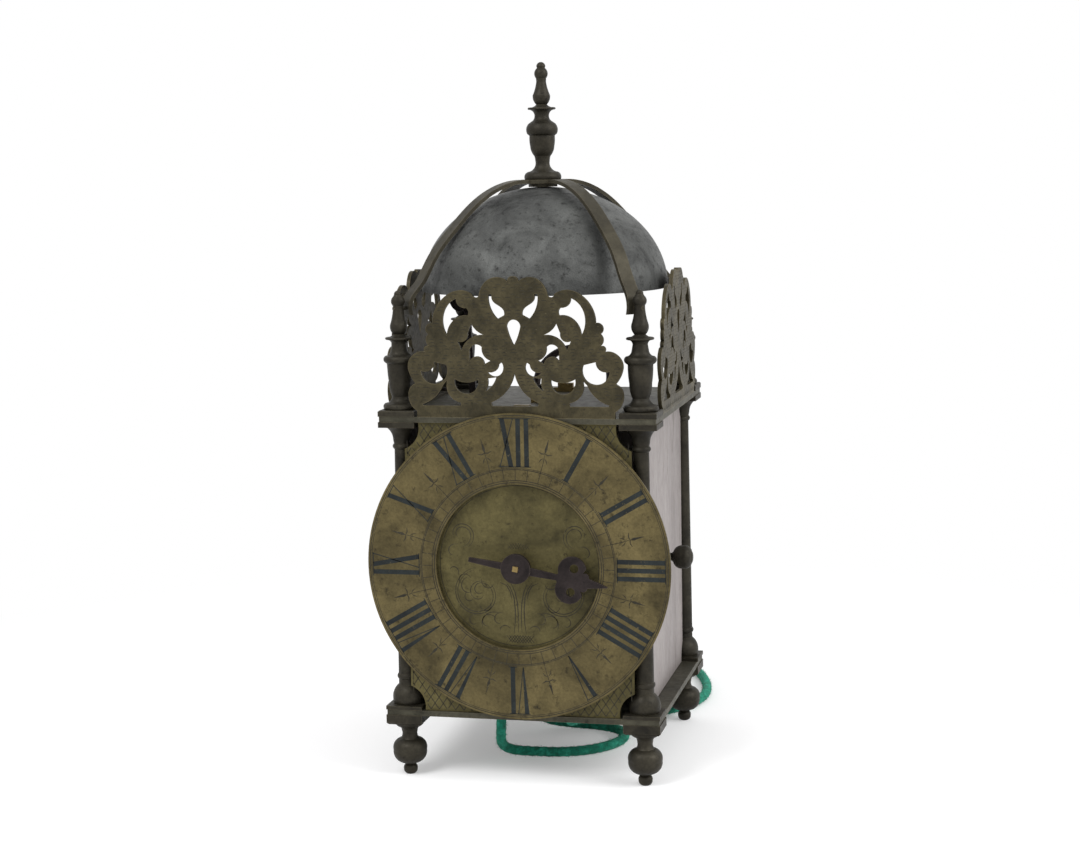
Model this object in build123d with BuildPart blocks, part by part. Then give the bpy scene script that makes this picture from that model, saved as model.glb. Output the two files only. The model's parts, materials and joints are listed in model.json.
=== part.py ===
from build123d import *
from math import atan2, cos, degrees, hypot, pi, radians, sin, sqrt, tan
import os

os.makedirs("parts", exist_ok=True)

# A weight-driven lantern clock: a brass frame of two plates and four turned posts, a pierced
# fret on three sides, a bell under crossed straps, a going train and a striking train on
# upright bars, and a rope that drives them. Millimetres. The origin is on the floor under the
# middle of the case, +X to the right, +Y to the back, +Z up, so the dial faces -Y.

# ---- frame ----
plate_half = 75.0
plate_thick = 3.0
base_height = 35.0
case_height = 157.5
post_at = 65.5
block_half = 10.0
foot_block = 5.5
post_block_low = 2.0
post_block_high = 3.0
finial_block = 3.2
post_radius_low = 5.2
post_radius_high = 4.0
stud_radius = 3.4
stud_length = 12.0
fixed_fit = 0.08

case_floor = base_height + plate_thick
case_roof = case_floor + case_height
roof_top = case_roof + plate_thick

# ---- bars that carry the trains ----
bar_thick = 3.0
bar_width = 16.0
tenon_width = 9.0
tenon_rise = 5.0
wedge_size = (16.0, 1.6, 2.2)
bar_fronts = {"front": -60.0, "centre": -6.0, "rear": 48.0}
arm_height = 9.0
arm_end = 5.5
pivot_radius = 1.0
running_fit = 0.05
passing_fit = 0.8
end_shake = 0.2
pivot_length = 2.8
centre_pivot = 1.4
blind_depth = 1.4

# ---- dial ----
dial_height = 118.9
dial_radius = 82.5
dial_hole = 44.6
dial_thick = 1.4
dial_front = -77.6
dial_plate_half = 61.5
dial_plate_thick = 1.6
dial_plate_back = -72.0
dial_foot_radius = 60.0
corner_notch = 12.0

# ---- hand ----
hand_turn = 100.0
hand_thick = 1.3
hand_gap = 2.4
hand_boss = 8.0
hand_boss_thick = 2.2
hand_square = 2.9
hand_tail = 26.0
hand_reach = 50.0
lobe_at = 31.0
lobe_apart = 6.4
lobe_radius = 6.3
lobe_hole = 2.4

# ---- frets ----
fret_thick = 2.0
fret_shelf = 6.0
fret_shelf_thick = 1.5
rail_height = 6.2
rail_half = 53.5

# ---- bell ----
bell_radius = 68.5
bell_rise = 56.0
bell_rim = 262.0
bell_wall = 1.8
strap_width = 8.0
strap_thick = 2.0
strap_disc = 12.0
strap_hole_height = 255.6
strap_peg = 1.0
bell_stud = 2.5
washer_thick = 1.0

# ---- doors and back ----
door_thick = 1.5
door_half = 58.2
door_gap = 0.4
hinge_at = -52.5
hinge_pin = 1.5
knob_height = 111.0
knob_along = 3.0
knob_radius = 6.5
knob_shank = 1.5
back_front = 64.5
back_thick = 1.5

# ---- going train ----
train_height = 79.9
going_wheel = (60, 1.0)
going_pinion = (6, 1.0)
second_gear = (48, 0.95)
escape_pinion = (8, 0.95)
escape_radius = 23.0
escape_teeth = 30
report_pinion = (6, 1.0)
hour_gear = (72, 1.0)

# ---- striking train ----
strike_gear = (56, 1.1)
hoop_pinion = (7, 1.1)
hoop_gear = (54, 0.7)
warning_pinion = (6, 0.7)
warning_gear = (48, 0.7)
fly_pinion = (6, 0.7)
count_pinion = (4, 1.0)
count_gear = (39, 1.0)
hammer_pins = 8
hammer_pin_ring = 25.0
hammer_pin = 1.3
tail_clear = 0.4

# ---- rope ----
rope_radius = 2.8
rope_line = 19.0
rope_hole = 4.6
rope_y = {"going": -44.0, "strike": 22.0}


def reach(gear, pinion):
    """Distance between the arbors of a wheel and a pinion of one module."""
    return gear[1] * (gear[0] + pinion[0]) / 2


second_height = train_height + reach(going_wheel, going_pinion)
escape_height = second_height + reach(second_gear, escape_pinion)
anchor_height = escape_height + escape_radius * sqrt(2)
hoop_height = train_height + reach(strike_gear, hoop_pinion)
warning_height = hoop_height + reach(hoop_gear, warning_pinion)
fly_height = warning_height + reach(warning_gear, fly_pinion)
count_height = train_height + reach(count_gear, count_pinion)


def keep(piece, name):
    """Label a finished piece and write it."""
    piece.part.label = name
    export_step(piece.part, f"parts/{name}.step")


def facing(x, y, z):
    """Plane at a point, seen from the front of the clock: local X right, local Y up."""
    return Plane(origin=(x, y, z), x_dir=(1, 0, 0), z_dir=(0, -1, 0))


def lengthwise(x, z):
    """Plane for turning about a front-to-back line: local X up, local Y to the back."""
    return Plane(origin=(x, 0, z), x_dir=(0, 0, 1), z_dir=(-1, 0, 0))


def turned(steps, plane, mode=Mode.ADD):
    """Turn a profile about the plane's Y axis. A step is (along, radius, swell): the profile
    runs to it from the step before, straight, or along an arc that stands out by swell."""
    with BuildSketch(plane) as profile:
        with BuildLine():
            along, radius, _ = steps[0]
            Line((0, along), (radius, along))
            for next_along, next_radius, swell in steps[1:]:
                if swell:
                    SagittaArc((radius, along), (next_radius, next_along), -swell)
                else:
                    Line((radius, along), (next_radius, next_along))
                along, radius = next_along, next_radius
            if radius:
                Line((radius, along), (0, along))
            Line((0, along), (0, steps[0][0]))
        make_face()
    revolve(profile.sketch, axis=Axis(plane.origin, plane.y_dir), mode=mode)


def rod(plane, start, end, radius, mode=Mode.ADD):
    """Plain round rod along the plane's Y axis."""
    turned([(start, radius, 0), (end, radius, 0)], plane, mode)


def slab(plane, width, height, thick, mode=Mode.ADD):
    """Rectangular slab centred on a plane and raised along its normal."""
    with BuildSketch(plane) as outline:
        Rectangle(width, height)
    extrude(outline.sketch, amount=thick, mode=mode)


def level(x, y, z):
    """Level plane at a point."""
    return Plane(origin=(x, y, z))


def drill(x, y, z, radius, through):
    """Round hole from a point towards the front."""
    with BuildSketch(facing(x, y, z)) as hole:
        Circle(radius)
    extrude(hole.sketch, amount=through, mode=Mode.SUBTRACT)


def polar(radius, angle):
    """Point at a radius and an angle in degrees."""
    return (radius * cos(radians(angle)), radius * sin(radians(angle)))


def trace(runs, side=1):
    """Lines through runs of points, each run starting where the last one ended: two points
    make a line, three an arc and more a smooth curve. side -1 draws the mirrored runs."""
    for run in runs:
        points = [(side * across, up) for across, up in run]
        if len(points) == 2:
            Line(*points)
        elif len(points) == 3:
            ThreePointArc(*points)
        else:
            Spline(*points)


# ---- frame: feet, posts, finials ----
corners = {
    "front_left": (-post_at, -post_at),
    "front_right": (post_at, -post_at),
    "rear_left": (-post_at, post_at),
    "rear_right": (post_at, post_at),
}

foot_steps = [
    (0.0, 2.2, 0), (2.6, 3.8, 0.5), (5.4, 2.7, 0.5), (6.4, 4.6, 0), (13.4, 9.2, 1.6),
    (20.0, 5.0, 1.7), (24.0, 4.3, -0.5), (26.4, 5.2, -0.2), (29.5, 8.4, 0.6),
]

finial_steps = [
    (0.0, 8.6, 0), (3.1, 8.4, 0.8), (6.8, 4.5, -1.0), (14.5, 6.0, 0.4), (24.4, 6.7, 0.2),
    (25.2, 7.8, 0), (28.6, 7.6, 0.9), (31.4, 4.6, -0.7), (35.0, 4.0, 0), (37.4, 6.9, -0.8),
    (38.6, 6.9, 0.5), (40.2, 3.0, -0.5), (45.4, 4.5, 0.7), (54.2, 2.8, -0.3), (55.4, 2.8, 0),
    (60.2, 2.6, 1.0), (61.2, 2.0, 0), (63.4, 0.5, 0.5),
]


# Ball feet, each with a square block on top and a stud that screws up into its post.
with BuildPart() as feet:
    for corner_x, corner_y in corners.values():
        slab(level(corner_x, corner_y, base_height - foot_block), 2 * block_half, 2 * block_half,
             foot_block)
    chamfer(feet.faces().group_by(Axis.Z)[0].edges(), 1.0)
    for corner_x, corner_y in corners.values():
        turned(foot_steps, facing(corner_x, corner_y, 0))
        rod(facing(corner_x, corner_y, 0), base_height, case_floor + stud_length, stud_radius)
keep(feet, "feet")


def make_post(name, x, y):
    """Turned corner post between the plates, bored at both ends for the studs."""
    plane = facing(x, y, case_floor)
    neck = case_height - post_block_high
    steps = [
        (post_block_low, 8.0, 0), (12.5, post_radius_low, 1.8), (15.5, post_radius_low, 0),
        (17.0, 5.9, 0.2), (18.5, post_radius_low, 0.2), (neck - 12.5, post_radius_high, 0),
        (neck - 11.0, 5.0, 0.2), (neck - 9.5, 4.2, 0.2), (neck - 7.5, 4.6, 0),
        (neck, 9.0, -1.2),
    ]
    with BuildPart() as post:
        slab(level(x, y, case_floor), 2 * block_half, 2 * block_half, post_block_low)
        slab(level(x, y, case_floor + neck), 2 * block_half, 2 * block_half, post_block_high)
        turned(steps, plane)
        bore = stud_radius + fixed_fit
        rod(plane, 0, stud_length + 1, bore, Mode.SUBTRACT)
        rod(plane, case_height - stud_length - 1, case_height, bore, Mode.SUBTRACT)
    keep(post, name)


def make_finial(name, x, y):
    """Urn finial on a square plinth, with a stud down into the post and a hole for a strap."""
    plane = facing(x, y, roof_top + finial_block)
    inward = Plane(origin=(x, y, strap_hole_height), x_dir=(0, 0, 1), z_dir=(y, -x, 0))
    with BuildPart() as finial:
        slab(level(x, y, roof_top), 2 * block_half, 2 * block_half, finial_block)
        chamfer(finial.faces().sort_by(Axis.Z)[-1].edges(), 0.6)
        turned(finial_steps, plane)
        rod(plane, -(roof_top - case_roof + finial_block + stud_length), -finial_block,
            stud_radius)
        rod(inward, -6.0, 6.0, strap_peg + fixed_fit, Mode.SUBTRACT)
    keep(finial, name)


for corner, (corner_x, corner_y) in corners.items():
    make_post(f"post_{corner}", corner_x, corner_y)
    make_finial(f"finial_{corner}", corner_x, corner_y)


# ---- plates ----
bar_slot = (tenon_width + 2 * fixed_fit, bar_thick + 2 * fixed_fit)
tab_width = 8.0
tab_at = 30.0
tab_slot = (tab_width + 2 * fixed_fit, dial_plate_thick + 2 * fixed_fit)
dial_plate_mid = dial_plate_back - dial_plate_thick / 2
door_at = post_at - door_thick / 2 + 0.5
hammer_slot = (20.0, 8.0)
hammer_y = 20.0
screw_at = 38.0
screw_radius = 1.4
shelf_mid = plate_half - fret_thick - fret_shelf / 2


def plate_cuts():
    """Holes that both plates share: corner studs, bar tenons, dial tabs and door pins."""
    with Locations(*corners.values()):
        Circle(stud_radius + fixed_fit, mode=Mode.SUBTRACT)
    with Locations(*[(0, front + bar_thick / 2) for front in bar_fronts.values()]):
        Rectangle(*bar_slot, mode=Mode.SUBTRACT)
    with Locations((-tab_at, dial_plate_mid), (tab_at, dial_plate_mid)):
        Rectangle(*tab_slot, mode=Mode.SUBTRACT)
    with Locations((-door_at, hinge_at), (door_at, hinge_at)):
        Circle(hinge_pin + running_fit, mode=Mode.SUBTRACT)


def plate_outline(z):
    """Square plate sketch with the cuts that both plates share."""
    with BuildSketch(level(0, 0, z)) as outline:
        Rectangle(2 * plate_half, 2 * plate_half)
        plate_cuts()
    return outline.sketch


with BuildPart() as bottom_plate:
    extrude(plate_outline(base_height), amount=plate_thick)
    with BuildSketch(level(0, 0, base_height)) as holes:
        with Locations(*[(side * rope_line, y) for side in (-1, 1) for y in rope_y.values()]):
            Circle(rope_hole)
    extrude(holes.sketch, amount=plate_thick, mode=Mode.SUBTRACT)
keep(bottom_plate, "bottom_plate")

with BuildPart() as top_plate:
    extrude(plate_outline(case_roof), amount=plate_thick)
    with BuildSketch(level(0, 0, case_roof)) as holes:
        with Locations((-43.5, hammer_y)):
            SlotOverall(*hammer_slot)
        with Locations(*[(side * screw_at, -shelf_mid) for side in (-1, 1)]):
            Circle(screw_radius + fixed_fit)
        for side in (-1, 1):
            with Locations(*[(side * shelf_mid, along * screw_at) for along in (-1, 1)]):
                Circle(screw_radius + fixed_fit)
    extrude(holes.sketch, amount=plate_thick, mode=Mode.SUBTRACT)
keep(top_plate, "top_plate")


# ---- bars ----
hammer_arbor = (-40.0, 100.0)
lift_arbor = (-33.0, 128.0)
detent_arbor = (36.0, 140.0)
journal_radius = 2.0
arbor_radius = 1.8
slim_arbor = 1.2
count_stud = 2.5


def bar_shape(front, arms):
    """Upright bar with tenons through both plates and an arm out to each side arbor."""
    with BuildSketch(facing(0, front + bar_thick, 0)) as shape:
        with Locations((0, (case_floor + case_roof) / 2)):
            Rectangle(bar_width, case_height)
        with Locations((0, (base_height + roof_top + tenon_rise) / 2)):
            Rectangle(tenon_width, roof_top + tenon_rise - base_height)
        for x, z in arms:
            with Locations((x / 2, z)):
                Rectangle(abs(x), arm_height)
            with Locations((x, z)):
                Circle(arm_end)
    extrude(shape.sketch, amount=bar_thick)
    wedge_y = front + bar_thick / 2
    slab(level(0, wedge_y, roof_top), wedge_size[0], wedge_size[1] + 2 * fixed_fit,
         wedge_size[2] + fixed_fit, Mode.SUBTRACT)


def pivot_holes(front, holes):
    """Holes through a bar: (x, z, radius) each."""
    for x, z, radius in holes:
        drill(x, front + bar_thick, z, radius, bar_thick)


def blind_holes(back, holes):
    """Pivot holes part of the way into the centre bar, from y = back towards the front."""
    for x, z in holes:
        drill(x, back, z, small, blind_depth)


small = pivot_radius + running_fit
journal = journal_radius + running_fit
clear = arbor_radius + passing_fit

with BuildPart() as front_bar:
    bar_shape(bar_fronts["front"], [lift_arbor])
    pivot_holes(bar_fronts["front"], [
        (0, train_height, journal), (0, second_height, small), (0, dial_height, small),
        (0, escape_height, small), (0, anchor_height, small), (*lift_arbor, small)])
keep(front_bar, "front_bar")

with BuildPart() as centre_bar:
    bar_shape(bar_fronts["centre"], [hammer_arbor, lift_arbor, detent_arbor])
    pivot_holes(bar_fronts["centre"], [
        (0, train_height, small), (0, anchor_height, clear), (*lift_arbor, clear)])
    blind_holes(bar_fronts["centre"] + blind_depth, [(0, second_height), (0, escape_height)])
    blind_holes(bar_fronts["centre"] + bar_thick, [
        (0, hoop_height), (0, warning_height), (0, fly_height), hammer_arbor, detent_arbor])
keep(centre_bar, "centre_bar")

with BuildPart() as rear_bar:
    bar_shape(bar_fronts["rear"], [hammer_arbor, lift_arbor, detent_arbor])
    pivot_holes(bar_fronts["rear"], [
        (0, train_height, journal), (0, hoop_height, small), (0, warning_height, small),
        (0, fly_height, small), (0, anchor_height, clear), (*hammer_arbor, small),
        (*lift_arbor, small), (*detent_arbor, journal)])
    stud_start = bar_fronts["rear"] + bar_thick
    rod(lengthwise(0, count_height), stud_start, stud_start + 7.0, count_stud)
keep(rear_bar, "rear_bar")

with BuildPart() as bar_wedges:
    for front in bar_fronts.values():
        slab(level(0, front + bar_thick / 2, roof_top), *wedge_size)
keep(bar_wedges, "bar_wedges")


# ---- dial ----
def notched_sheet(plane, half_width, notch_at):
    """Upright sheet between the plates, cut round the posts' domes and cups."""
    with BuildSketch(plane) as sheet:
        with Locations((0, (case_floor + case_roof) / 2)):
            Rectangle(2 * half_width, case_height)
        for side in (-1, 1):
            low = case_floor + post_block_low
            high = case_roof - post_block_high
            with Locations((side * notch_at, low), (side * notch_at, high)):
                Circle(corner_notch, mode=Mode.SUBTRACT)
    return sheet.sketch


foot_out = dial_foot_radius * sqrt(0.5)
ring_feet = [(across * foot_out, dial_height + up * foot_out) for across in (-1, 1)
             for up in (-1, 1)]
ring_foot_pin = 1.6
dial_pipe_hole = 4.0

with BuildPart() as dial_plate:
    sheet = notched_sheet(facing(0, dial_plate_back, 0), dial_plate_half, post_at)
    extrude(sheet, amount=dial_plate_thick)
    drill(0, dial_plate_back, dial_height, dial_pipe_hole, dial_plate_thick)
    for side in (-1, 1):
        for low in (base_height, case_roof):
            slab(level(side * tab_at, dial_plate_mid, low), tab_width, dial_plate_thick,
                 plate_thick)
    for x, z in ring_feet:
        drill(x, dial_plate_back, z, ring_foot_pin + fixed_fit, dial_plate_thick)
keep(dial_plate, "dial_plate")

dial_back = dial_front + dial_thick
dial_plate_front = dial_plate_back - dial_plate_thick
pin_y = dial_plate_back + 0.8

with BuildPart() as chapter_ring:
    with BuildSketch(facing(0, dial_back, dial_height)) as ring:
        Circle(dial_radius)
        Circle(dial_hole, mode=Mode.SUBTRACT)
    extrude(ring.sketch, amount=dial_thick)
    for x, z in ring_feet:
        turned([(dial_back, 3.0, 0), (dial_plate_front, 3.0, 0),
                (dial_plate_front, ring_foot_pin, 0),
                (dial_plate_back + 2.0, ring_foot_pin, 0)], lengthwise(x, z))
        rod(Plane(origin=(x, pin_y, z), x_dir=(0, 1, 0), z_dir=(0, 0, 1)), -3.0, 3.0,
            0.6 + fixed_fit, Mode.SUBTRACT)
keep(chapter_ring, "chapter_ring")

with BuildPart() as ring_pins:
    for x, z in ring_feet:
        rod(Plane(origin=(x, pin_y, z), x_dir=(0, 1, 0), z_dir=(0, 0, 1)), -4.5, 4.5, 0.6)
keep(ring_pins, "ring_pins")


# ---- hand ----
hand_back = dial_front - hand_gap


def hand_plane(y):
    """Plane across the hand's arbor, its local Y along the pointer."""
    turn = radians(hand_turn)
    return Plane(origin=(0, y, dial_height), x_dir=(cos(turn), 0, -sin(turn)), z_dir=(0, -1, 0))


lobe_top = (lobe_apart + 1, lobe_at + lobe_radius)
head_side = [
    ((0, lobe_at - 9.5), (2.4, lobe_at - 8.0)),
    ((2.4, lobe_at - 8.0), (lobe_apart + lobe_radius, lobe_at - 1), lobe_top),
    (lobe_top, (4.6, lobe_at + 5.0)),
    ((4.6, lobe_at + 5.0), (4.6, lobe_at + 7.6), (2.6, lobe_at + 8.6)),
    ((2.6, lobe_at + 8.6), (0.3, hand_reach)),
    ((0.3, hand_reach), (0, hand_reach)),
]

with BuildPart() as hour_hand:
    with BuildSketch(hand_plane(hand_back)) as blade:
        with BuildLine():
            Polyline((-2.2, hand_boss - 1), (2.2, hand_boss - 1), (1.5, lobe_at - 7),
                     (-1.5, lobe_at - 7), close=True)
        make_face()
        with BuildLine():
            Polyline((-1.9, -hand_boss + 1), (1.9, -hand_boss + 1), (1.2, -hand_tail),
                     (-1.2, -hand_tail), close=True)
        make_face()
        for side in (-1, 1):
            with BuildLine():
                trace(head_side, side)
                Line((0, hand_reach), (0, lobe_at - 9.5))
            make_face()
        with Locations((-lobe_apart, lobe_at), (lobe_apart, lobe_at)):
            Circle(lobe_hole, mode=Mode.SUBTRACT)
    extrude(blade.sketch, amount=hand_thick)
    with BuildSketch(hand_plane(hand_back + (hand_boss_thick - hand_thick) / 2)) as boss:
        Circle(hand_boss)
    extrude(boss.sketch, amount=hand_boss_thick)
    with BuildSketch(hand_plane(hand_back + 5)) as square:
        Rectangle(hand_square + 2 * fixed_fit, hand_square + 2 * fixed_fit)
    extrude(square.sketch, amount=10, mode=Mode.SUBTRACT)
keep(hour_hand, "hour_hand")


# ---- frets ----
# Right half of the fret, as runs of points from its middle: across, and up from the top plate.
fret_edge = [
    ((0, 74.4), (2.1, 73.8), (2.8, 71.6)),
    ((2.8, 71.6), (6.0, 73.6), (12.5, 73.2), (16.6, 69.4), (18.4, 64.4)),
    ((18.4, 64.4), (20.3, 63.4), (22.3, 65.2)),
    ((22.3, 65.2), (31.0, 67.0), (38.6, 62.6), (43.0, 55.6), (43.9, 50.0)),
    ((43.9, 50.0), (47.0, 49.0), (46.4, 44.2)),
    ((46.4, 44.2), (47.8, 41.2), (46.2, 37.9)),
    ((46.2, 37.9), (48.3, 37.6), (48.6, 35.0)),
    ((48.6, 35.0), (54.6, 33.6), (58.0, 28.6), (57.4, 23.6), (54.0, 18.0)),
    ((54.0, 18.0), (57.6, 14.8), (58.0, 10.0), (55.6, 5.0), (rail_half, 3.4)),
    ((rail_half, 3.4), (rail_half, 0)),
    ((rail_half, 0), (0, 0)),
]

fret_openings = [
    # beside the crown leaf
    [((11.4, 65.2), (13.2, 65.2)), ((13.2, 65.2), (12.2, 57.6), (8.6, 52.2)),
     ((8.6, 52.2), (4.8, 54.2)), ((4.8, 54.2), (6.2, 58.0), (9.2, 60.0), (11.4, 65.2))],
    # crescent inside the upper scroll
    [((30.8, 63.0), (37.4, 56.4), (38.4, 50.2), (36.2, 43.6)),
     ((36.2, 43.6), (34.8, 48.6), (30.4, 53.0), (24.6, 54.0)),
     ((24.6, 54.0), (24.4, 56.6), (25.4, 58.0)), ((25.4, 58.0), (29.2, 59.0), (30.8, 63.0))],
    # between the upper scroll and the ring scroll
    [((15.8, 43.7), (20.0, 46.0), (22.9, 50.0)), ((22.9, 50.0), (25.0, 44.6)),
     ((25.0, 44.6), (26.2, 41.0), (30.6, 40.5)), ((30.6, 40.5), (28.4, 35.4)),
     ((28.4, 35.4), (24.4, 41.4), (15.8, 43.7))],
    # top of the ring scroll, with a leaf standing in it
    [((17.4, 37.4), (22.0, 38.4), (24.2, 34.0)), ((24.2, 34.0), (24.2, 29.4)),
     ((24.2, 29.4), (20.6, 32.4), (16.2, 28.4)), ((16.2, 28.4), (12.8, 30.2)),
     ((12.8, 30.2), (16.6, 33.2), (17.4, 37.4))],
    # foot of the inner stem
    [((6.8, 29.4), (8.4, 28.2)), ((8.4, 28.2), (9.8, 25.2), (14.8, 24.4)),
     ((14.8, 24.4), (8.8, 22.2), (6.8, 29.4))],
    [((9.8, 21.4), (14.6, 20.8)), ((14.6, 20.8), (14.6, 17.0), (16.2, 13.8)),
     ((16.2, 13.8), (12.2, 17.0), (9.8, 21.4))],
    # eye of the ring scroll
    [((19.6, 20.2), (26.0, 18.6), (32.6, 20.6)), ((32.6, 20.6), (26.4, 12.6), (19.6, 20.2))],
    # outer volute
    [((37.0, 28.0), (43.6, 29.6)), ((43.6, 29.6), (45.4, 25.6), (51.0, 24.8)),
     ((51.0, 24.8), (48.6, 19.6), (37.0, 28.0))],
    # between the ring scroll, the corner leaf and the rail
    [((36.4, 20.0), (38.8, 17.6)), ((38.8, 17.6), (42.4, 12.0), (50.6, 7.0)),
     ((50.6, 7.0), (50.0, rail_height)), ((50.0, rail_height), (29.4, rail_height)),
     ((29.4, rail_height), (29.2, 8.0)), ((29.2, 8.0), (35.6, 12.0), (36.4, 20.0))],
]

drop_radius = 3.7
drop_centre = 48.1
drop_point = 38.2


def make_fret(name, plane):
    """Pierced fret on a plane whose origin is at the rail's foot: scrolls, rail and shelf."""
    with BuildPart() as fret:
        with BuildSketch(plane) as pierced:
            for side in (-1, 1):
                with BuildLine():
                    trace(fret_edge, side)
                    Line((0, 0), (0, fret_edge[0][0][1]))
                make_face()
            for opening in fret_openings:
                for side in (-1, 1):
                    with BuildLine():
                        trace(opening, side)
                    make_face(mode=Mode.SUBTRACT)
            with BuildLine():
                ThreePointArc((-drop_radius, drop_centre), (0, drop_centre + drop_radius),
                              (drop_radius, drop_centre))
                ThreePointArc((drop_radius, drop_centre), (2.3, 43.2), (0, drop_point))
                ThreePointArc((0, drop_point), (-2.3, 43.2), (-drop_radius, drop_centre))
            make_face(mode=Mode.SUBTRACT)
            with BuildLine():
                ThreePointArc((0, 24.0), (4.6, 14.0), (13.0, 8.0))
                Line((13.0, 8.0), (12.4, rail_height))
                Line((12.4, rail_height), (-12.4, rail_height))
                Line((-12.4, rail_height), (-13.0, 8.0))
                ThreePointArc((-13.0, 8.0), (-4.6, 14.0), (0, 24.0))
            make_face(mode=Mode.SUBTRACT)
        extrude(pierced.sketch, amount=fret_thick)
        out = plane.z_dir
        shelf = Plane(origin=plane.origin - out * (fret_shelf / 2), x_dir=plane.x_dir,
                      z_dir=(0, 0, 1))
        slab(shelf, 2 * screw_at + 16.0, fret_shelf, fret_shelf_thick)
        with BuildSketch(shelf) as holes:
            with Locations((-screw_at, 0), (screw_at, 0)):
                Circle(screw_radius + fixed_fit)
        extrude(holes.sketch, amount=fret_shelf_thick, mode=Mode.SUBTRACT)
    keep(fret, name)


fret_face = plate_half - fret_thick
make_fret("front_fret", Plane(origin=(0, -fret_face, roof_top), x_dir=(1, 0, 0), z_dir=(0, -1, 0)))
make_fret("right_fret", Plane(origin=(fret_face, 0, roof_top), x_dir=(0, 1, 0), z_dir=(1, 0, 0)))
make_fret("left_fret", Plane(origin=(-fret_face, 0, roof_top), x_dir=(0, -1, 0), z_dir=(-1, 0, 0)))

screw_seats = [(along * screw_at, -shelf_mid) for along in (-1, 1)]
screw_seats += [(side * shelf_mid, along * screw_at) for side in (-1, 1) for along in (-1, 1)]

with BuildPart() as fret_screws:
    for x, y in screw_seats:
        shelf_top = roof_top + fret_shelf_thick
        turned([(case_roof, screw_radius, 0), (shelf_top, screw_radius, 0),
                (shelf_top, 2.6, 0), (shelf_top + 0.6, 2.6, 0), (shelf_top + 1.6, 1.2, 0.2)],
               facing(x, y, 0))
keep(fret_screws, "fret_screws")


# ---- bell ----
bell_top = bell_rim + bell_rise
disc_base = bell_top + washer_thick + 1.0
disc_top = disc_base + strap_thick

with BuildPart() as bell:
    with BuildSketch(facing(0, 0, bell_rim)) as wall:
        with BuildLine():
            EllipticalCenterArc((0, 0), bell_radius, bell_rise, start_angle=0, arc_size=90)
            Line((0, bell_rise), (0, bell_rise - bell_wall))
            EllipticalCenterArc((0, 0), bell_radius - bell_wall, bell_rise - bell_wall,
                                start_angle=0, arc_size=90)
            Line((bell_radius - bell_wall, 0), (bell_radius, 0))
        make_face()
    revolve(wall.sketch, axis=Axis.Z)
    rod(facing(0, 0, bell_rim), 0, bell_rise + 1, bell_stud + fixed_fit, Mode.SUBTRACT)
keep(bell, "bell")

# Middle line of a strap, outward from the clock's upright axis and up from the floor.
strap_line = [
    (strap_disc - 1.6, disc_top - 1.0), (24.6, disc_top - 2.2), (42.6, disc_top - 9.6),
    (61.4, disc_top - 25.2), (74.4, disc_top - 40.4), (81.8, disc_top - 53.6), (86.0, 262.0),
    (86.6, 252.0),
]
# How far each point of a tighter strap lies inside that line.
strap_pull = [0, 0.4, 1.6, 2.6, 2.6, 1.8, 0.6, 0]


def beside(points, distance):
    """Points moved square to a line of points, to its left."""
    moved = []
    for index, (across, up) in enumerate(points):
        before = points[max(index - 1, 0)]
        after = points[min(index + 1, len(points) - 1)]
        run, rise = after[0] - before[0], after[1] - before[1]
        length = hypot(run, rise)
        moved.append((across - rise / length * distance, up + run / length * distance))
    return moved


def strap(turn, pull):
    """One strap from the disc out over the bell and down to a finial, pulled in by a share."""
    outward = Vector(cos(radians(turn)), sin(radians(turn)), 0)
    side = outward.cross(Vector(0, 0, 1))
    line = [(across - pull * inset, up - pull * inset / 2)
            for (across, up), inset in zip(strap_line, strap_pull)]
    outer = beside(line, strap_thick / 2)
    inner = beside(line, -strap_thick / 2)
    middle = Plane(origin=side * (-strap_width / 2), x_dir=outward, z_dir=side)
    with BuildSketch(middle) as band:
        with BuildLine():
            Spline(*outer)
            Line(outer[-1], inner[-1])
            Spline(*inner)
            Line(inner[0], outer[0])
        make_face()
    extrude(band.sketch, amount=strap_width)
    peg_line = Plane(origin=(0, 0, strap_hole_height), x_dir=(0, 0, 1),
                     z_dir=(-outward.Y, outward.X, 0))
    rod(peg_line, -(post_at * sqrt(2) + 3.0), -(strap_line[-1][0] - 0.5), strap_peg)


with BuildPart() as bell_straps:
    for turn, pull in ((45, 1), (135, 0), (225, 1), (315, 0)):
        strap(turn, pull)
    rod(facing(0, 0, 0), disc_base, disc_top, strap_disc)
    rod(facing(0, 0, 0), disc_base, disc_top, bell_stud + fixed_fit, Mode.SUBTRACT)
keep(bell_straps, "bell_straps")

with BuildPart() as bell_washer:
    rod(facing(0, 0, 0), bell_top + 0.05, disc_base, 8.0)
    rod(facing(0, 0, 0), bell_top, disc_base, bell_stud + fixed_fit, Mode.SUBTRACT)
keep(bell_washer, "bell_washer")

bell_finial_steps = [
    (0.0, 9.9, 0), (4.4, 7.4, 1.4), (4.9, 6.2, 0), (10.2, 4.0, -0.9), (12.9, 4.5, -0.1),
    (18.4, 6.7, 0.5), (24.0, 7.0, 0.2), (25.0, 8.2, 0), (30.6, 7.4, 0.9), (31.8, 5.7, 0),
    (34.8, 4.0, -0.5), (38.2, 7.2, -1.0), (39.4, 7.2, 0.5), (41.0, 3.0, -0.6), (46.0, 4.8, 0.6),
    (53.4, 2.7, -0.3), (55.2, 2.8, 0), (60.8, 2.2, 1.2), (61.8, 2.5, 0), (64.0, 0.5, 0.5),
]

nut_top = bell_top - bell_wall - 0.3
with BuildPart() as bell_finial:
    turned(bell_finial_steps, facing(0, 0, disc_top))
    rod(facing(0, 0, 0), nut_top - 4.5, disc_top, bell_stud)
keep(bell_finial, "bell_finial")

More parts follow.
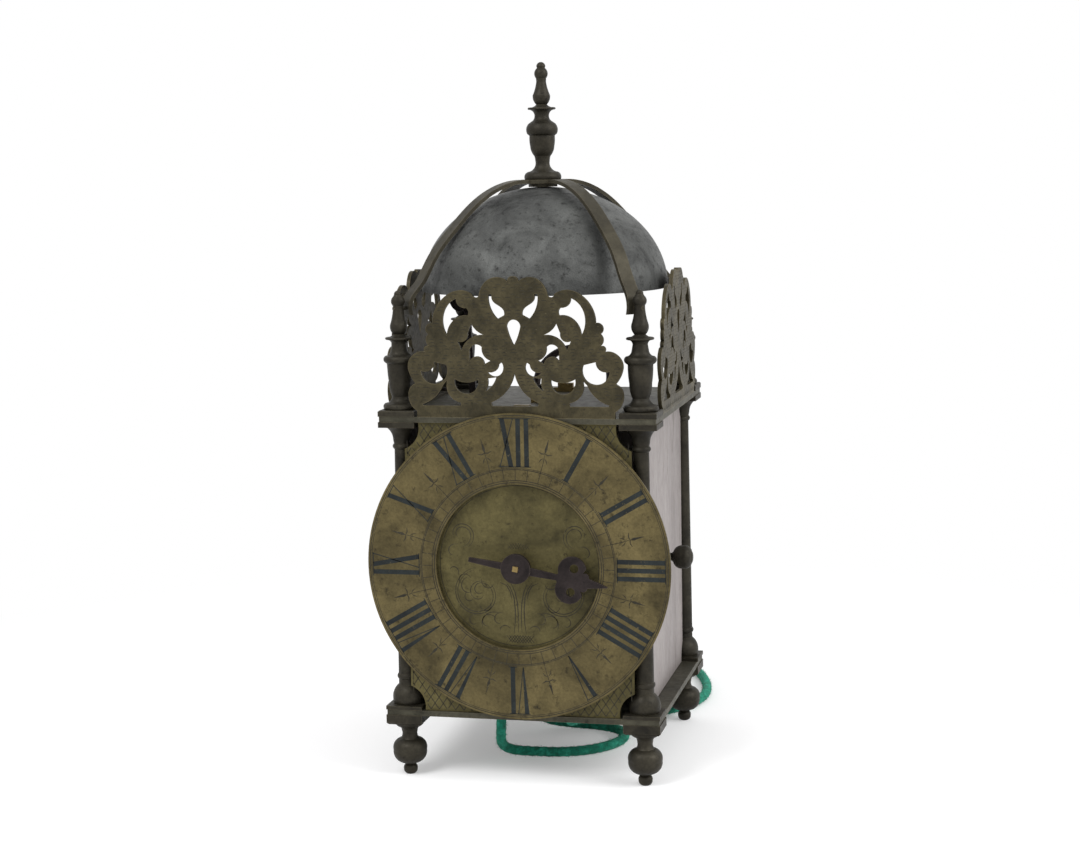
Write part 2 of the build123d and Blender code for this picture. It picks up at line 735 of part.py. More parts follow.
with BuildPart() as bell_nut:
    slab(level(0, 0, nut_top - 3.0), 9.0, 9.0, 3.0)
    chamfer(bell_nut.faces().sort_by(Axis.Z)[0].edges(), 0.8)
    rod(facing(0, 0, 0), nut_top - 4.0, nut_top, bell_stud + fixed_fit, Mode.SUBTRACT)
keep(bell_nut, "bell_nut")


# ---- doors, back plate, hoop and spurs ----
def side_plane(side, x):
    """Plane across the clock's right (side 1) or left side, its local Y up."""
    return Plane(origin=(side * x, 0, 0), x_dir=(0, side, 0), z_dir=(side, 0, 0))


def make_door(name, side):
    """Sheet door on two pins that turn in the plates, with a hole for its knob."""
    with BuildPart() as door:
        inner = door_at - door_thick / 2
        sheet = notched_sheet(side_plane(side, inner), door_half, post_at)
        extrude(sheet, amount=door_thick)
        for z in (case_floor, case_roof - door_gap):
            slab(level(side * door_at, 0, z), 4.0, 2 * door_half, door_gap, Mode.SUBTRACT)
        pin = facing(side * door_at, hinge_at, 0)
        rod(pin, base_height + 0.4, case_floor + 6.0, hinge_pin)
        rod(pin, case_roof - 6.0, roof_top - 0.4, hinge_pin)
        with BuildSketch(side_plane(side, inner)) as knob_hole:
            with Locations((side * knob_along, knob_height)):
                Circle(knob_shank + fixed_fit)
        extrude(knob_hole.sketch, amount=door_thick, mode=Mode.SUBTRACT)
    keep(door, name)


knob_steps = [
    (-2.4, 2.6, 0), (-door_thick, 2.6, 0), (-door_thick, knob_shank, 0),
    (0.0, knob_shank, 0), (0.0, 3.4, 0), (1.0, 3.4, 0.2), (3.4, 2.2, -0.4), (4.4, 3.0, 0), (9.6, knob_radius, 1.2),
    (10.6, knob_radius, 0), (14.6, 3.6, 1.0), (15.4, 1.2, 0.2),
]


def make_knob(name, side):
    """Turned knob riveted through its door."""
    outer = side * (door_at + door_thick / 2)
    line = Plane(origin=(outer, knob_along, knob_height), x_dir=(0, 0, 1), z_dir=(0, side, 0))
    with BuildPart() as knob:
        turned(knob_steps, line)
    keep(knob, name)


for side_name, side in (("left", -1), ("right", 1)):
    make_door(f"{side_name}_door", side)
    make_knob(f"{side_name}_door_knob", side)

back_rear = back_front + back_thick
spur_at = 44.0
spur_height = 58.0
spur_length = 16.0
spur_shank = 2.0

with BuildPart() as back_plate:
    sheet = notched_sheet(facing(0, back_rear, 0), door_half, post_at)
    extrude(sheet, amount=back_thick)
    drill(0, back_rear, anchor_height, 4.0, back_thick)
    for x in (-spur_at, spur_at):
        drill(x, back_rear, spur_height, spur_shank + fixed_fit, back_thick)
keep(back_plate, "back_plate")

hoop_radius = 22.0
hoop_rod = 2.2
hoop_lean = 35.0
hoop_leg = 4.0
hoop_y = 68.0

with BuildPart() as hanging_hoop:
    lean = radians(hoop_lean)
    hoop_plane = Plane(origin=(0, hoop_y, roof_top + 1.2), x_dir=(1, 0, 0),
                       z_dir=(0, -cos(lean), sin(lean)))
    with BuildLine(hoop_plane) as bow:
        Line((-hoop_radius, 0), (-hoop_radius, hoop_leg))
        RadiusArc((-hoop_radius, hoop_leg), (hoop_radius, hoop_leg), hoop_radius)
        Line((hoop_radius, hoop_leg), (hoop_radius, 0))
    with BuildSketch(Plane(origin=bow.line @ 0, z_dir=bow.line % 0)) as section:
        Circle(hoop_rod)
    sweep(section.sketch, path=bow.line)
    for x in (-hoop_radius, hoop_radius):
        slab(level(x, hoop_y - 1.5, roof_top), 9.0, 9.0, 2.0)
keep(hanging_hoop, "hanging_hoop")

with BuildPart() as wall_spurs:
    for x in (-spur_at, spur_at):
        turned([(back_front - 1.0, spur_shank, 0), (back_rear, spur_shank, 0),
                (back_rear, 3.2, 0),
                (back_rear + 2.0, 3.0, 0), (back_rear + spur_length, 0.0, 0)],
               lengthwise(x, spur_height))
keep(wall_spurs, "wall_spurs")


# ---- wheels ----
# Tooth sizes as shares of the module. Every wheel clears its pinion by about a fifth of it.
tooth_rise = 0.9
tooth_depth = 1.15
tooth_tip = 0.45
tooth_foot = 1.5
leaf_rise = 0.6
leaf_depth = 1.05
leaf_tip = 0.4
leaf_foot = 0.95


def ring_of_teeth(count, tip, root, tip_width, root_width, turn):
    """Corners of straight-sided teeth, the first centred at an angle."""
    points = []
    for index in range(count):
        middle = turn + index * 360 / count
        for radius, width in ((root, -root_width), (tip, -tip_width), (tip, tip_width),
                              (root, root_width)):
            angle = radians(middle) + width / 2 / radius
            points.append((radius * cos(angle), radius * sin(angle)))
    return points


def toothed(points, x, z, back, thick, mode=Mode.ADD):
    """Toothed disc whose back face is at y = back."""
    with BuildSketch(facing(x, back, z)) as blank:
        with BuildLine():
            Polyline(*points, close=True)
        make_face()
    extrude(blank.sketch, amount=thick, mode=mode)


def wheel_teeth(gear, turn):
    count, module = gear
    radius = count * module / 2
    return ring_of_teeth(count, radius + tooth_rise * module, radius - tooth_depth * module,
                         tooth_tip * module, tooth_foot * module, turn)


def pinion_leaves(pinion, turn):
    count, module = pinion
    radius = count * module / 2
    return ring_of_teeth(count, radius + leaf_rise * module, radius - leaf_depth * module,
                         leaf_tip * module, leaf_foot * module, turn)


def crossings(x, z, back, thick, inner, outer, arm):
    """Openings between a wheel's four arms."""
    with BuildSketch(facing(x, back, z)) as windows:
        Circle(outer)
        Circle(inner, mode=Mode.SUBTRACT)
        Rectangle(2 * outer + 2, arm, mode=Mode.SUBTRACT)
        Rectangle(arm, 2 * outer + 2, mode=Mode.SUBTRACT)
    extrude(windows.sketch, amount=thick, mode=Mode.SUBTRACT)


def arbor(x, z, start, end, radius, pivots):
    """Round arbor between two bars, with pivots of two lengths that run in the bars."""
    turned([(start - pivots[0], pivot_radius, 0), (start, pivot_radius, 0), (start, radius, 0),
            (end, radius, 0), (end, pivot_radius, 0), (end + pivots[1], pivot_radius, 0)],
           lengthwise(x, z))


going_pivots = (pivot_length, centre_pivot)
strike_pivots = (centre_pivot, pivot_length)
going_start = bar_fronts["front"] + bar_thick + end_shake
going_end = bar_fronts["centre"] - end_shake
strike_start = bar_fronts["centre"] + bar_thick + end_shake
strike_end = bar_fronts["rear"] - end_shake

great_thick = 3.0
wheel_thick = 2.0
going_back = -34.0
strike_back = 32.0
great_arbor = 3.0
click_thick = 1.2
ratchet_thick = 1.4
click_gap = 0.2
ratchet_teeth = 16
ratchet_tip = 14.2
ratchet_root = 12.0
click_at = 22.0
click_boss = 2.6
click_pin = 1.2
click_clear = 0.3
ratchet_turn = 45.0
pulley_rim = 23.0
pulley_floor = rope_line - rope_radius - 0.2
pulley_half = 5.4


def great_wheel(gear, back):
    """Great wheel with its arms, hub and the pin that its click turns on."""
    toothed(wheel_teeth(gear, 90), 0, train_height, back, great_thick)
    crossings(0, train_height, back, great_thick, 8.0, 25.6, 8.0)
    front = back - great_thick
    rod(Plane(origin=(click_at, 0, train_height), x_dir=(0, 0, 1), z_dir=(-1, 0, 0)),
        front - click_gap - click_thick, front + 1.0, click_pin)


def make_pulley(name, back):
    """Rope pulley with a ratchet on the side of its great wheel."""
    front = back - great_thick
    rear = front - click_gap - ratchet_thick
    middle = rope_y[name.split("_")[0]]
    line = lengthwise(0, train_height)
    with BuildPart() as pulley:
        turned([(middle - pulley_half, pulley_rim, 0), (middle - 4.4, pulley_rim, 0),
                (middle - 3.3, pulley_floor, 0), (middle + 3.3, pulley_floor, 0),
                (middle + 4.4, pulley_rim, 0), (rear, pulley_rim, 0)], line)
        points = []
        for index in range(ratchet_teeth):
            face = ratchet_turn + index * 360 / ratchet_teeth
            points += [polar(ratchet_root, face), polar(ratchet_tip, face)]
        toothed(points, 0, train_height, front - click_gap, ratchet_thick)
        rod(line, middle - pulley_half, front, great_arbor + running_fit, Mode.SUBTRACT)
    keep(pulley, name)


def make_click(name, back):
    """Click that stops its pulley from turning back, on a pin in the great wheel."""
    with BuildPart() as click:
        with BuildSketch(facing(0, back - great_thick - click_gap, train_height)) as shape:
            with BuildLine():
                Polyline(polar(ratchet_tip + click_clear, ratchet_turn - 1.5),
                         polar(ratchet_tip + 2 * click_clear, ratchet_turn - 9.0),
                         (click_at - 1.4, click_boss * 0.8), (click_at + 1.6, click_boss * 0.8),
                         polar(ratchet_tip + 3.2, ratchet_turn - 1.5), close=True)
            make_face()
            with Locations((click_at, 0)):
                Circle(click_boss)
                Circle(click_pin + running_fit, mode=Mode.SUBTRACT)
        extrude(shape.sketch, amount=click_thick)
    keep(click, name)


with BuildPart() as going_great_wheel:
    great_wheel(going_wheel, going_back)
    turned([(bar_fronts["front"] - 5.6, 1.9, 0), (bar_fronts["front"] - 0.6, 1.9, 0),
            (bar_fronts["front"] - 0.6, journal_radius, 0), (going_start, journal_radius, 0),
            (going_start, great_arbor, 0), (going_end, great_arbor, 0),
            (going_end, pivot_radius, 0), (going_end + centre_pivot, pivot_radius, 0)],
           lengthwise(0, train_height))
    rod(lengthwise(0, train_height), going_back, going_back + 3, 6.0)
    toothed(pinion_leaves(report_pinion, -90 + 180 / report_pinion[0] + 180), 0, train_height,
            bar_fronts["front"] - 1.0, 4.6)
keep(going_great_wheel, "going_great_wheel")
make_pulley("going_pulley", going_back)
make_click("going_click", going_back)

with BuildPart() as second_wheel:
    arbor(0, second_height, going_start, going_end, arbor_radius, going_pivots)
    toothed(pinion_leaves(going_pinion, -90 + 180 / going_pinion[0]), 0, second_height,
            going_back + 1, great_thick + 2)
    toothed(wheel_teeth(second_gear, 90), 0, second_height, -22.0, wheel_thick)
    crossings(0, second_height, -22.0, wheel_thick, 5.0, 18.6, 4.0)
keep(second_wheel, "second_wheel")

escape_back = -12.6
escape_thick = 1.6
anchor_thick = 2.4
pallet_clear = 0.4
tooth_ahead = 3.0
tooth_lean = 5.0
escape_root = escape_radius - 3.6

with BuildPart() as escape_wheel:
    arbor(0, escape_height, going_start, going_end, arbor_radius, going_pivots)
    toothed(pinion_leaves(escape_pinion, -90 + 180 / escape_pinion[0]), 0, escape_height,
            -21.0, wheel_thick + 2)
    points = []
    for index in range(escape_teeth):
        tip = 45 + tooth_ahead + index * 360 / escape_teeth
        points += [polar(escape_root, tip - 1.4 * tooth_lean),
                   polar(escape_root, tip - tooth_lean), polar(escape_radius, tip)]
    toothed(points, 0, escape_height, escape_back, escape_thick)
    crossings(0, escape_height, escape_back, escape_thick, 4.5, 17.0, 3.0)
keep(escape_wheel, "escape_wheel")

crutch_y = back_rear + 4.0
cock_y = back_rear + 9.0
crutch_length = 52.0
crutch_fork = 3.2

with BuildPart() as pallet_anchor:
    arbor(0, anchor_height, going_start, cock_y - end_shake, 1.6, (pivot_length, pivot_length))
    with BuildSketch(facing(0, escape_back + 0.4, anchor_height)) as arms:
        Circle(4.2)
        for side in (-1, 1):
            reach_tip = (escape_radius + pallet_clear) / sqrt(2)
            drop = escape_radius * sqrt(2) - reach_tip
            with BuildLine():
                Polyline((0, 3.0), (side * (reach_tip + 5.0), -drop + 7.0),
                         (side * (reach_tip + 0.4), -drop), (side * (reach_tip - 0.4), -drop + 0.3),
                         (side * (reach_tip - 0.2), -drop + 6.4), (0, -3.4), close=True)
            make_face()
    extrude(arms.sketch, amount=anchor_thick)
    with BuildSketch(facing(0, crutch_y + 1.2, anchor_height)) as crutch:
        Circle(3.4)
        with Locations((0, -crutch_length / 2)):
            Rectangle(2.4, crutch_length)
    extrude(crutch.sketch, amount=1.6)
    for side in (-1, 1):
        rod(lengthwise(side * crutch_fork / 2, anchor_height - crutch_length + 1.0),
            crutch_y, crutch_y + 7.0, 0.8)
    slab(level(0, crutch_y + 0.4, anchor_height - crutch_length), crutch_fork + 2.4, 1.6, 2.4)
keep(pallet_anchor, "pallet_anchor")

with BuildPart() as back_cock:
    with BuildSketch(facing(0, back_rear + 2.0, anchor_height)) as foot:
        with Locations((0, 9.5)):
            Rectangle(26.0, 8.0)
    extrude(foot.sketch, amount=2.0)
    slab(level(0, (back_rear + cock_y + 6.0) / 2, anchor_height + 8.0), 8.0,
         cock_y + 6.0 - back_rear, 3.0)
    with BuildSketch(facing(0, cock_y + 2.5, anchor_height)) as arm:
        with Locations((0, 3.0)):
            Rectangle(8.0, 12.0)
        Circle(small, mode=Mode.SUBTRACT)
    extrude(arm.sketch, amount=2.5)
    slab(level(0, cock_y + 4.6, anchor_height + 4.0), 1.0, 3.0, 9.0, Mode.SUBTRACT)
keep(back_cock, "back_cock")

hour_back = bar_fronts["front"] - 2.5
hour_thick = 2.5
pipe_end = hand_back + (hand_boss_thick - hand_thick) / 2
pipe_radius = dial_pipe_hole - running_fit
lift_pin_ring = 27.0
lift_pin = 0.8
lift_pins = 12

with BuildPart() as hour_wheel:
    toothed(wheel_teeth(hour_gear, -90), 0, dial_height, hour_back, hour_thick)
    crossings(0, dial_height, hour_back, hour_thick, 7.0, 24.0, 7.0)
    turned([(pipe_end, pipe_radius, 0), (hour_back - hour_thick, pipe_radius, 0),
            (hour_back - hour_thick, 2.4, 0), (bar_fronts["front"] - end_shake, 2.4, 0),
            (bar_fronts["front"] - end_shake, pivot_radius, 0),
            (bar_fronts["front"] + pivot_length, pivot_radius, 0)],
           lengthwise(0, dial_height))
    with BuildSketch(hand_plane(pipe_end + 1.0)) as square:
        Rectangle(hand_square, hand_square)
    extrude(square.sketch, amount=1.0 + hand_boss_thick + 0.8)
    for index in range(lift_pins):
        x, up = polar(lift_pin_ring, index * 360 / lift_pins)
        rod(lengthwise(x, dial_height + up), hour_back - 1.0, hour_back + 1.6, lift_pin)
keep(hour_wheel, "hour_wheel")


# ---- striking train ----
bar_back = bar_fronts["rear"] + bar_thick
tail_angle = 160.0

with BuildPart() as strike_great_wheel:
    great_wheel(strike_gear, strike_back)
    turned([(strike_start - centre_pivot, pivot_radius, 0), (strike_start, pivot_radius, 0),
            (strike_start, great_arbor, 0), (strike_end, great_arbor, 0),
            (strike_end, journal_radius, 0), (bar_back + 0.4, journal_radius, 0),
            (bar_back + 0.4, 0.9, 0), (bar_back + 3.8, 0.9, 0)], lengthwise(0, train_height))
    toothed(pinion_leaves(count_pinion, 90 + 180 / count_pinion[0]), 0, train_height,
            bar_back + 3.8, 3.4)
    for index in range(hammer_pins):
        x, up = polar(hammer_pin_ring, tail_angle + (index + 0.5) * 360 / hammer_pins)
        rod(lengthwise(x, train_height + up), strike_back - 1.0, strike_back + 3.5, hammer_pin)
keep(strike_great_wheel, "strike_great_wheel")
make_pulley("strike_pulley", strike_back)
make_click("strike_click", strike_back)

hoop_wheel_back = 10.0
hoop_band = (15.0, 13.4)
warning_back = 38.0

with BuildPart() as hoop_wheel:
    arbor(0, hoop_height, strike_start, strike_end, arbor_radius, strike_pivots)
    toothed(pinion_leaves(hoop_pinion, -90 + 180 / hoop_pinion[0]), 0, hoop_height,
            strike_back + 1, great_thick + 2)
    toothed(wheel_teeth(hoop_gear, 90), 0, hoop_height, hoop_wheel_back, wheel_thick)
    crossings(0, hoop_height, hoop_wheel_back, wheel_thick, 4.5, 12.6, 3.4)
    with BuildSketch(facing(0, hoop_wheel_back + 3.0, hoop_height)) as hoop:
        Circle(hoop_band[0])
        Circle(hoop_band[1], mode=Mode.SUBTRACT)
        with Locations((hoop_band[1], 0)):
            Rectangle(8.0, 7.0, mode=Mode.SUBTRACT)
    extrude(hoop.sketch, amount=3.5)
keep(hoop_wheel, "hoop_wheel")

with BuildPart() as warning_wheel:
    arbor(0, warning_height, strike_start, strike_end, slim_arbor, strike_pivots)
    toothed(pinion_leaves(warning_pinion, -90 + 180 / warning_pinion[0]), 0, warning_height,
            hoop_wheel_back + 0.6, wheel_thick + 1.2)
    toothed(wheel_teeth(warning_gear, 90), 0, warning_height, warning_back, wheel_thick)
    crossings(0, warning_height, warning_back, wheel_thick, 4.0, 12.6, 3.0)
    rod(lengthwise(-14.4, warning_height), warning_back - 1, warning_back + 3.0, 0.8)
keep(warning_wheel, "warning_wheel")

fly_span = 28.0
fly_length = 24.0
with BuildPart() as fly:
    arbor(0, fly_height, strike_start, strike_end, slim_arbor, strike_pivots)
    toothed(pinion_leaves(fly_pinion, -90 + 180 / fly_pinion[0]), 0, fly_height,
            warning_back + 0.6, wheel_thick + 1.2)
    slab(level(0, 17.0, fly_height - 0.4), fly_span, fly_length, 0.8)
    rod(lengthwise(0, fly_height), 4.0, 30.0, 2.2)
keep(fly, "fly")

count_back = bar_back + 4.0
count_rim = 26.0
notch_depth = 3.0
strokes = 78

with BuildPart() as count_wheel:
    toothed(wheel_teeth(count_gear, -90), 0, count_height, count_back, wheel_thick)
    with BuildSketch(facing(0, count_back + wheel_thick, count_height)) as disc:
        Circle(count_rim)
        total = 0
        for hour in range(1, 13):
            total += hour
            angle = 50 - total * 360 / strokes
            with Locations(Location(polar(count_rim - notch_depth / 2 + 1, angle), angle)):
                Rectangle(notch_depth + 2, 2.6, mode=Mode.SUBTRACT)
    extrude(disc.sketch, amount=wheel_thick)
    crossings(0, count_height, count_back + wheel_thick, 2 * wheel_thick, 6.0, 15.0, 5.0)
    rod(lengthwise(0, count_height), bar_back + 0.3, count_back + wheel_thick + 0.6,
        count_stud + running_fit, Mode.SUBTRACT)
keep(count_wheel, "count_wheel")


# ---- hammer, levers and detent ----
hammer_head = (6.2, 9.6, 9.0)
hammer_head_at = (-54.2, 257.5)
stem_thick = 3.0
tail_thick = 2.0
heel_drop = 13.0


def tapered_arm(start, end, wide, narrow, back, thick):
    """Flat arm that tapers from one point to another, its back face at y = back."""
    run, rise = end[0] - start[0], end[1] - start[1]
    length = hypot(run, rise)
    across, up = -rise / length, run / length
    with BuildSketch(facing(0, back, 0)) as arm:
        with BuildLine():
            Polyline((start[0] + across * wide / 2, start[1] + up * wide / 2),
                     (end[0] + across * narrow / 2, end[1] + up * narrow / 2),
                     (end[0] - across * narrow / 2, end[1] - up * narrow / 2),
                     (start[0] - across * wide / 2, start[1] - up * wide / 2), close=True)
        make_face()
    extrude(arm.sketch, amount=thick)


def collar(x, z, back, thick, radius):
    """Round collar on a side arbor."""
    rod(lengthwise(x, z), back - thick, back, radius)


with BuildPart() as hammer:
    hammer_x, hammer_z = hammer_arbor
    arbor(hammer_x, hammer_z, strike_start, strike_end, arbor_radius, strike_pivots)
    stem_back = hammer_y + stem_thick / 2
    knee = (-47.6, 192.0)
    tapered_arm(hammer_arbor, knee, 5.0, 4.0, stem_back, stem_thick)
    tapered_arm(knee, (hammer_head_at[0] + 3.4, hammer_head_at[1] - 6.0), 4.0, 3.4, stem_back,
                stem_thick)
    with Locations(facing(knee[0], stem_back, knee[1])):
        Cylinder(2.0, stem_thick, align=(Align.CENTER, Align.CENTER, Align.MIN))
    collar(hammer_x, hammer_z, stem_back + 1.5, stem_thick + 3.0, 4.0)
    head_x, head_z = hammer_head_at
    with BuildSketch(facing(head_x, hammer_y + hammer_head[2] / 2, head_z)) as head:
        Ellipse(hammer_head[0], hammer_head[1])
    extrude(head.sketch, amount=hammer_head[2])
    tail_back = strike_back + 2.8
    tail_end = 1.6
    tail_x, tail_up = polar(hammer_pin_ring + hammer_pin + tail_end / 2 + tail_clear, tail_angle)
    tapered_arm(hammer_arbor, (tail_x, train_height + tail_up), 4.0, tail_end, tail_back,
                tail_thick)
    collar(hammer_x, hammer_z, tail_back + 1.0, tail_thick + 2.0, 3.6)
    tapered_arm(hammer_arbor, (hammer_x + 0.6, hammer_z - heel_drop), 4.6, 3.0, stem_back,
                stem_thick)
keep(hammer, "hammer")

spring_foot = (10.0, 8.0, 1.6)
spring_x = -50.0
with BuildPart() as hammer_spring:
    slab(level(spring_x, hammer_y, case_floor), *spring_foot)
    with BuildSketch(facing(0, hammer_y + spring_foot[1] / 2, 0)) as leaf:
        with BuildLine():
            top = (hammer_x - 3.9, hammer_z - heel_drop + 2)
            ThreePointArc((spring_x - 0.6, case_floor), (spring_x + 0.6, case_floor + 26), top)
            Line(top, (top[0] + 1.0, top[1]))
            ThreePointArc((top[0] + 1.0, top[1]), (spring_x + 2.0, case_floor + 26),
                          (spring_x + 0.6, case_floor))
            Line((spring_x + 0.6, case_floor), (spring_x - 0.6, case_floor))
        make_face()
    extrude(leaf.sketch, amount=spring_foot[1])
keep(hammer_spring, "hammer_spring")

with BuildPart() as lifting_lever:
    lift_x, lift_z = lift_arbor
    front_face = bar_fronts["front"]
    turned([(front_face - 1.9, arbor_radius, 0), (front_face - end_shake, arbor_radius, 0),
            (front_face - end_shake, pivot_radius, 0), (going_start, pivot_radius, 0),
            (going_start, arbor_radius, 0), (strike_end, arbor_radius, 0),
            (strike_end, pivot_radius, 0), (strike_end + pivot_length, pivot_radius, 0)],
           lengthwise(lift_x, lift_z))
    near = degrees(atan2(lift_z - dial_height, lift_x))
    lift_end = 1.6
    tip_x, tip_up = polar(lift_pin_ring + lift_pin + lift_end / 2 + tail_clear, near - 10)
    tapered_arm(lift_arbor, (tip_x, dial_height + tip_up), 3.4, lift_end, front_face - 0.9, 1.0)
    warning_tip = (-17.9, warning_height + 1.0)
    tapered_arm(lift_arbor, warning_tip, 4.0, 2.0, warning_back + 2.6, 1.8)
    collar(lift_x, lift_z, warning_back + 3.4, 3.4, 3.4)
keep(lifting_lever, "lifting_lever")

with BuildPart() as locking_detent:
    detent_x, detent_z = detent_arbor
    count_arm_back = count_back + wheel_thick
    turned([(strike_start - centre_pivot, pivot_radius, 0), (strike_start, pivot_radius, 0),
            (strike_start, arbor_radius, 0), (strike_end, arbor_radius, 0),
            (strike_end, journal_radius, 0), (count_arm_back, journal_radius, 0)],
           lengthwise(detent_x, detent_z))
    hoop_tip = (13.6, hoop_height + 8.4)
    tapered_arm(detent_arbor, hoop_tip, 4.0, 2.0, hoop_wheel_back + 2.8, 2.0)
    collar(detent_x, detent_z, hoop_wheel_back + 3.8, 4.0, 3.6)
    rim_x, rim_up = polar(count_rim + 0.5, 50)
    tapered_arm(detent_arbor, (rim_x, count_height + rim_up), 4.0, 1.6, count_arm_back,
                wheel_thick)
    with Locations(facing(detent_x, count_arm_back, detent_z)):
        Cylinder(3.6, wheel_thick, align=(Align.CENTER, Align.CENTER, Align.MIN))
keep(locking_detent, "locking_detent")


# ---- rope ----
# One endless rope. It goes up from a hole in the bottom plate, over the going pulley and down
# again, then to a coil on the floor close behind the clock, back to the striking pulley and
# round in front. The free stretches have points chosen by hand.
floor_line = rope_radius + 0.2
coil_x = -6.0
coil_y = 158.0
coil_outer = 41.0
coil_pitch = 7.2
coil_rise = 6.6
coil_layers = 4
layer_half_turns = 6
coil_end = 2 * rope_radius

front_points = [
    (-rope_line, rope_y["going"], base_height), (-rope_line, rope_y["going"], 27.0),
    (-20.2, -41.5, 17.0), (-22.0, -34.0, 8.8), (-17.5, -26.5, 3.8), (-6.0, -24.0, floor_line),
    (10.0, -23.5, floor_line), (25.0, -16.5, floor_line), (36.5, -3.0, floor_line),
    (40.5, 13.5, floor_line), (33.5, 28.5, floor_line), (18.5, 35.0, floor_line),
    (2.0, 36.5, floor_line), (-12.5, 35.0, 5.0), (-20.5, 29.0, 13.0),
    (-rope_line, rope_y["strike"], 24.0), (-rope_line, rope_y["strike"], base_height),
]

rear_points = [
    (rope_line, rope_y["going"], base_height), (rope_line, rope_y["going"], 29.6),
    (19.3, -40.1, 25.7), (20.2, -32.0, 24.6), (22.4, -18.0, 22.4), (26.5, 2.0, 18.0),
    (31.0, 21.0, 14.0), (36.0, 39.0, 9.0), (43.0, 56.5, 4.2), (55.0, 75.0, floor_line),
    (67.0, 92.0, floor_line), (71.5, 113.0, floor_line), (69.0, 136.0, floor_line),
    (62.0, 160.0, floor_line), (53.0, 180.0, floor_line), (36.0, 193.0, floor_line),
    (15.0, coil_y + coil_outer, floor_line), (coil_x + coil_end, coil_y + coil_outer, floor_line),
]

coil_top = floor_line + (coil_layers - 1) * coil_rise
return_points = [
    (coil_x + coil_end, coil_y - coil_outer, coil_top), (9.0, coil_y - coil_outer, coil_top),
    (21.0, 113.0, 19.5), (29.5, 102.0, 13.0), (30.0, 87.0, 6.5), (26.0, 70.0, 3.4),
    (20.5, 54.0, 5.0), (17.8, 40.0, 10.5), (18.4, 29.5, 19.0),
    (rope_line, rope_y["strike"], 27.5), (rope_line, rope_y["strike"], base_height),
]


def rounded(points):
    """Radius at each corner: 0.45 of the shorter run over the tangent of half the turn."""
    radii = []
    for before, here, after in zip(points, points[1:], points[2:]):
        first = Vector(*here) - Vector(*before)
        second = Vector(*after) - Vector(*here)
        half_turn = radians(first.get_angle(second)) / 2
        radii.append(0.45 * min(first.length, second.length) / tan(half_turn))
    return radii


def report(name, line, piece):
    """Print a stretch's length and its volume over its section times its length."""
    share = piece.part.volume / (pi * rope_radius ** 2 * line.length)
    print(name, "length", round(line.length, 1), "volume share", round(share, 4))


def rope(name, points):
    """Write a rope stretch along hand-picked points, as straight runs joined by tangent arcs."""
    radii = rounded(points)
    with BuildPart() as stretch:
        with BuildLine() as path:
            FilletPolyline(*points, radius=radii)
        with BuildSketch(Plane(origin=path.line @ 0, z_dir=path.line % 0)) as section:
            Circle(rope_radius)
        sweep(section.sketch, path=path.line)
    print(name, "radii", *(round(radius, 1) for radius in radii))
    report(name, path.wire(), stretch)
    keep(stretch, name)


rope("rope_front", front_points)
rope("rope_rear", rear_points)
rope("rope_return", return_points)

# The rope inside the case: up to each pulley, half round it and down.
with BuildPart() as rope_held:
    for y in rope_y.values():
        with BuildLine(facing(0, y, 0)) as path:
            Line((-rope_line, base_height), (-rope_line, train_height))
            RadiusArc((-rope_line, train_height), (rope_line, train_height), rope_line)
            Line((rope_line, train_height), (rope_line, base_height))
        with BuildSketch(Plane(origin=path.line @ 0, z_dir=path.line % 0)) as section:
            Circle(rope_radius)
        sweep(section.sketch, path=path.line)
keep(rope_held, "rope_held")


# Where the coil crosses its front-to-back line: each layer steps half a pitch in or out per half
# turn, and its last half turn climbs to the next layer at one radius while the spiral reverses.
def coil_marks():
    """Distances from the coil's middle and heights at the end of each half turn."""
    out, height, marks = coil_outer, floor_line, [(coil_outer, floor_line)]
    for layer in range(coil_layers):
        inward = layer % 2 == 0
        for _ in range(layer_half_turns - 1):
            out += -coil_pitch / 2 if inward else coil_pitch / 2
            marks.append((out, height))
        if layer < coil_layers - 1:
            height += coil_rise
            marks.append((out, height))
    return marks


def coil_path():
    """Coil as half turns, anticlockwise seen from above, from the back round to the front."""
    marks = coil_marks()
    first_out, first_height = marks[0]
    Line((coil_x + coil_end, coil_y + first_out, first_height), (coil_x, coil_y + first_out,
                                                                 first_height))
    for index, ((out, height), (next_out, next_height)) in enumerate(zip(marks, marks[1:])):
        side = 1 if index % 2 == 0 else -1
        start = Vector(coil_x, coil_y + side * out, height)
        end = Vector(coil_x, coil_y - side * next_out, next_height)
        heading = Vector(-side, 0, 0)
        middle = (start + end) / 2 + heading * ((end - start).length / 2)
        if next_height == height:
            ThreePointArc(start, middle, end)
        else:
            TangentArc(start, middle, tangent=heading)
            TangentArc(middle, end, tangent=end - start)
    last_out, last_height = marks[-1]
    Line((coil_x, coil_y - last_out, last_height), (coil_x + coil_end, coil_y - last_out,
                                                    last_height))


def least_gap(line, steps, apart):
    """Least gap of a tube to itself, on points of its line more than apart steps from each other."""
    points = [line @ (step / steps) for step in range(steps + 1)]
    least = min((one - other).length for index, one in enumerate(points)
                for other in points[index + apart:])
    return least - 2 * rope_radius


with BuildPart() as rope_coil:
    with BuildLine() as path:
        coil_path()
    with BuildSketch(Plane(origin=path.line @ 0, z_dir=path.line % 0)) as section:
        Circle(rope_radius)
    sweep(section.sketch, path=path.line)
report("rope_coil", path.wire(), rope_coil)
print("rope_coil least gap", round(least_gap(path.wire(), 1200, 12), 2))
keep(rope_coil, "rope_coil")
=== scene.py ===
import json
import random
from math import cos, hypot, pi, radians, sin

import bmesh
import bpy
from mathutils import Matrix, Vector
from mathutils.bvhtree import BVHTree

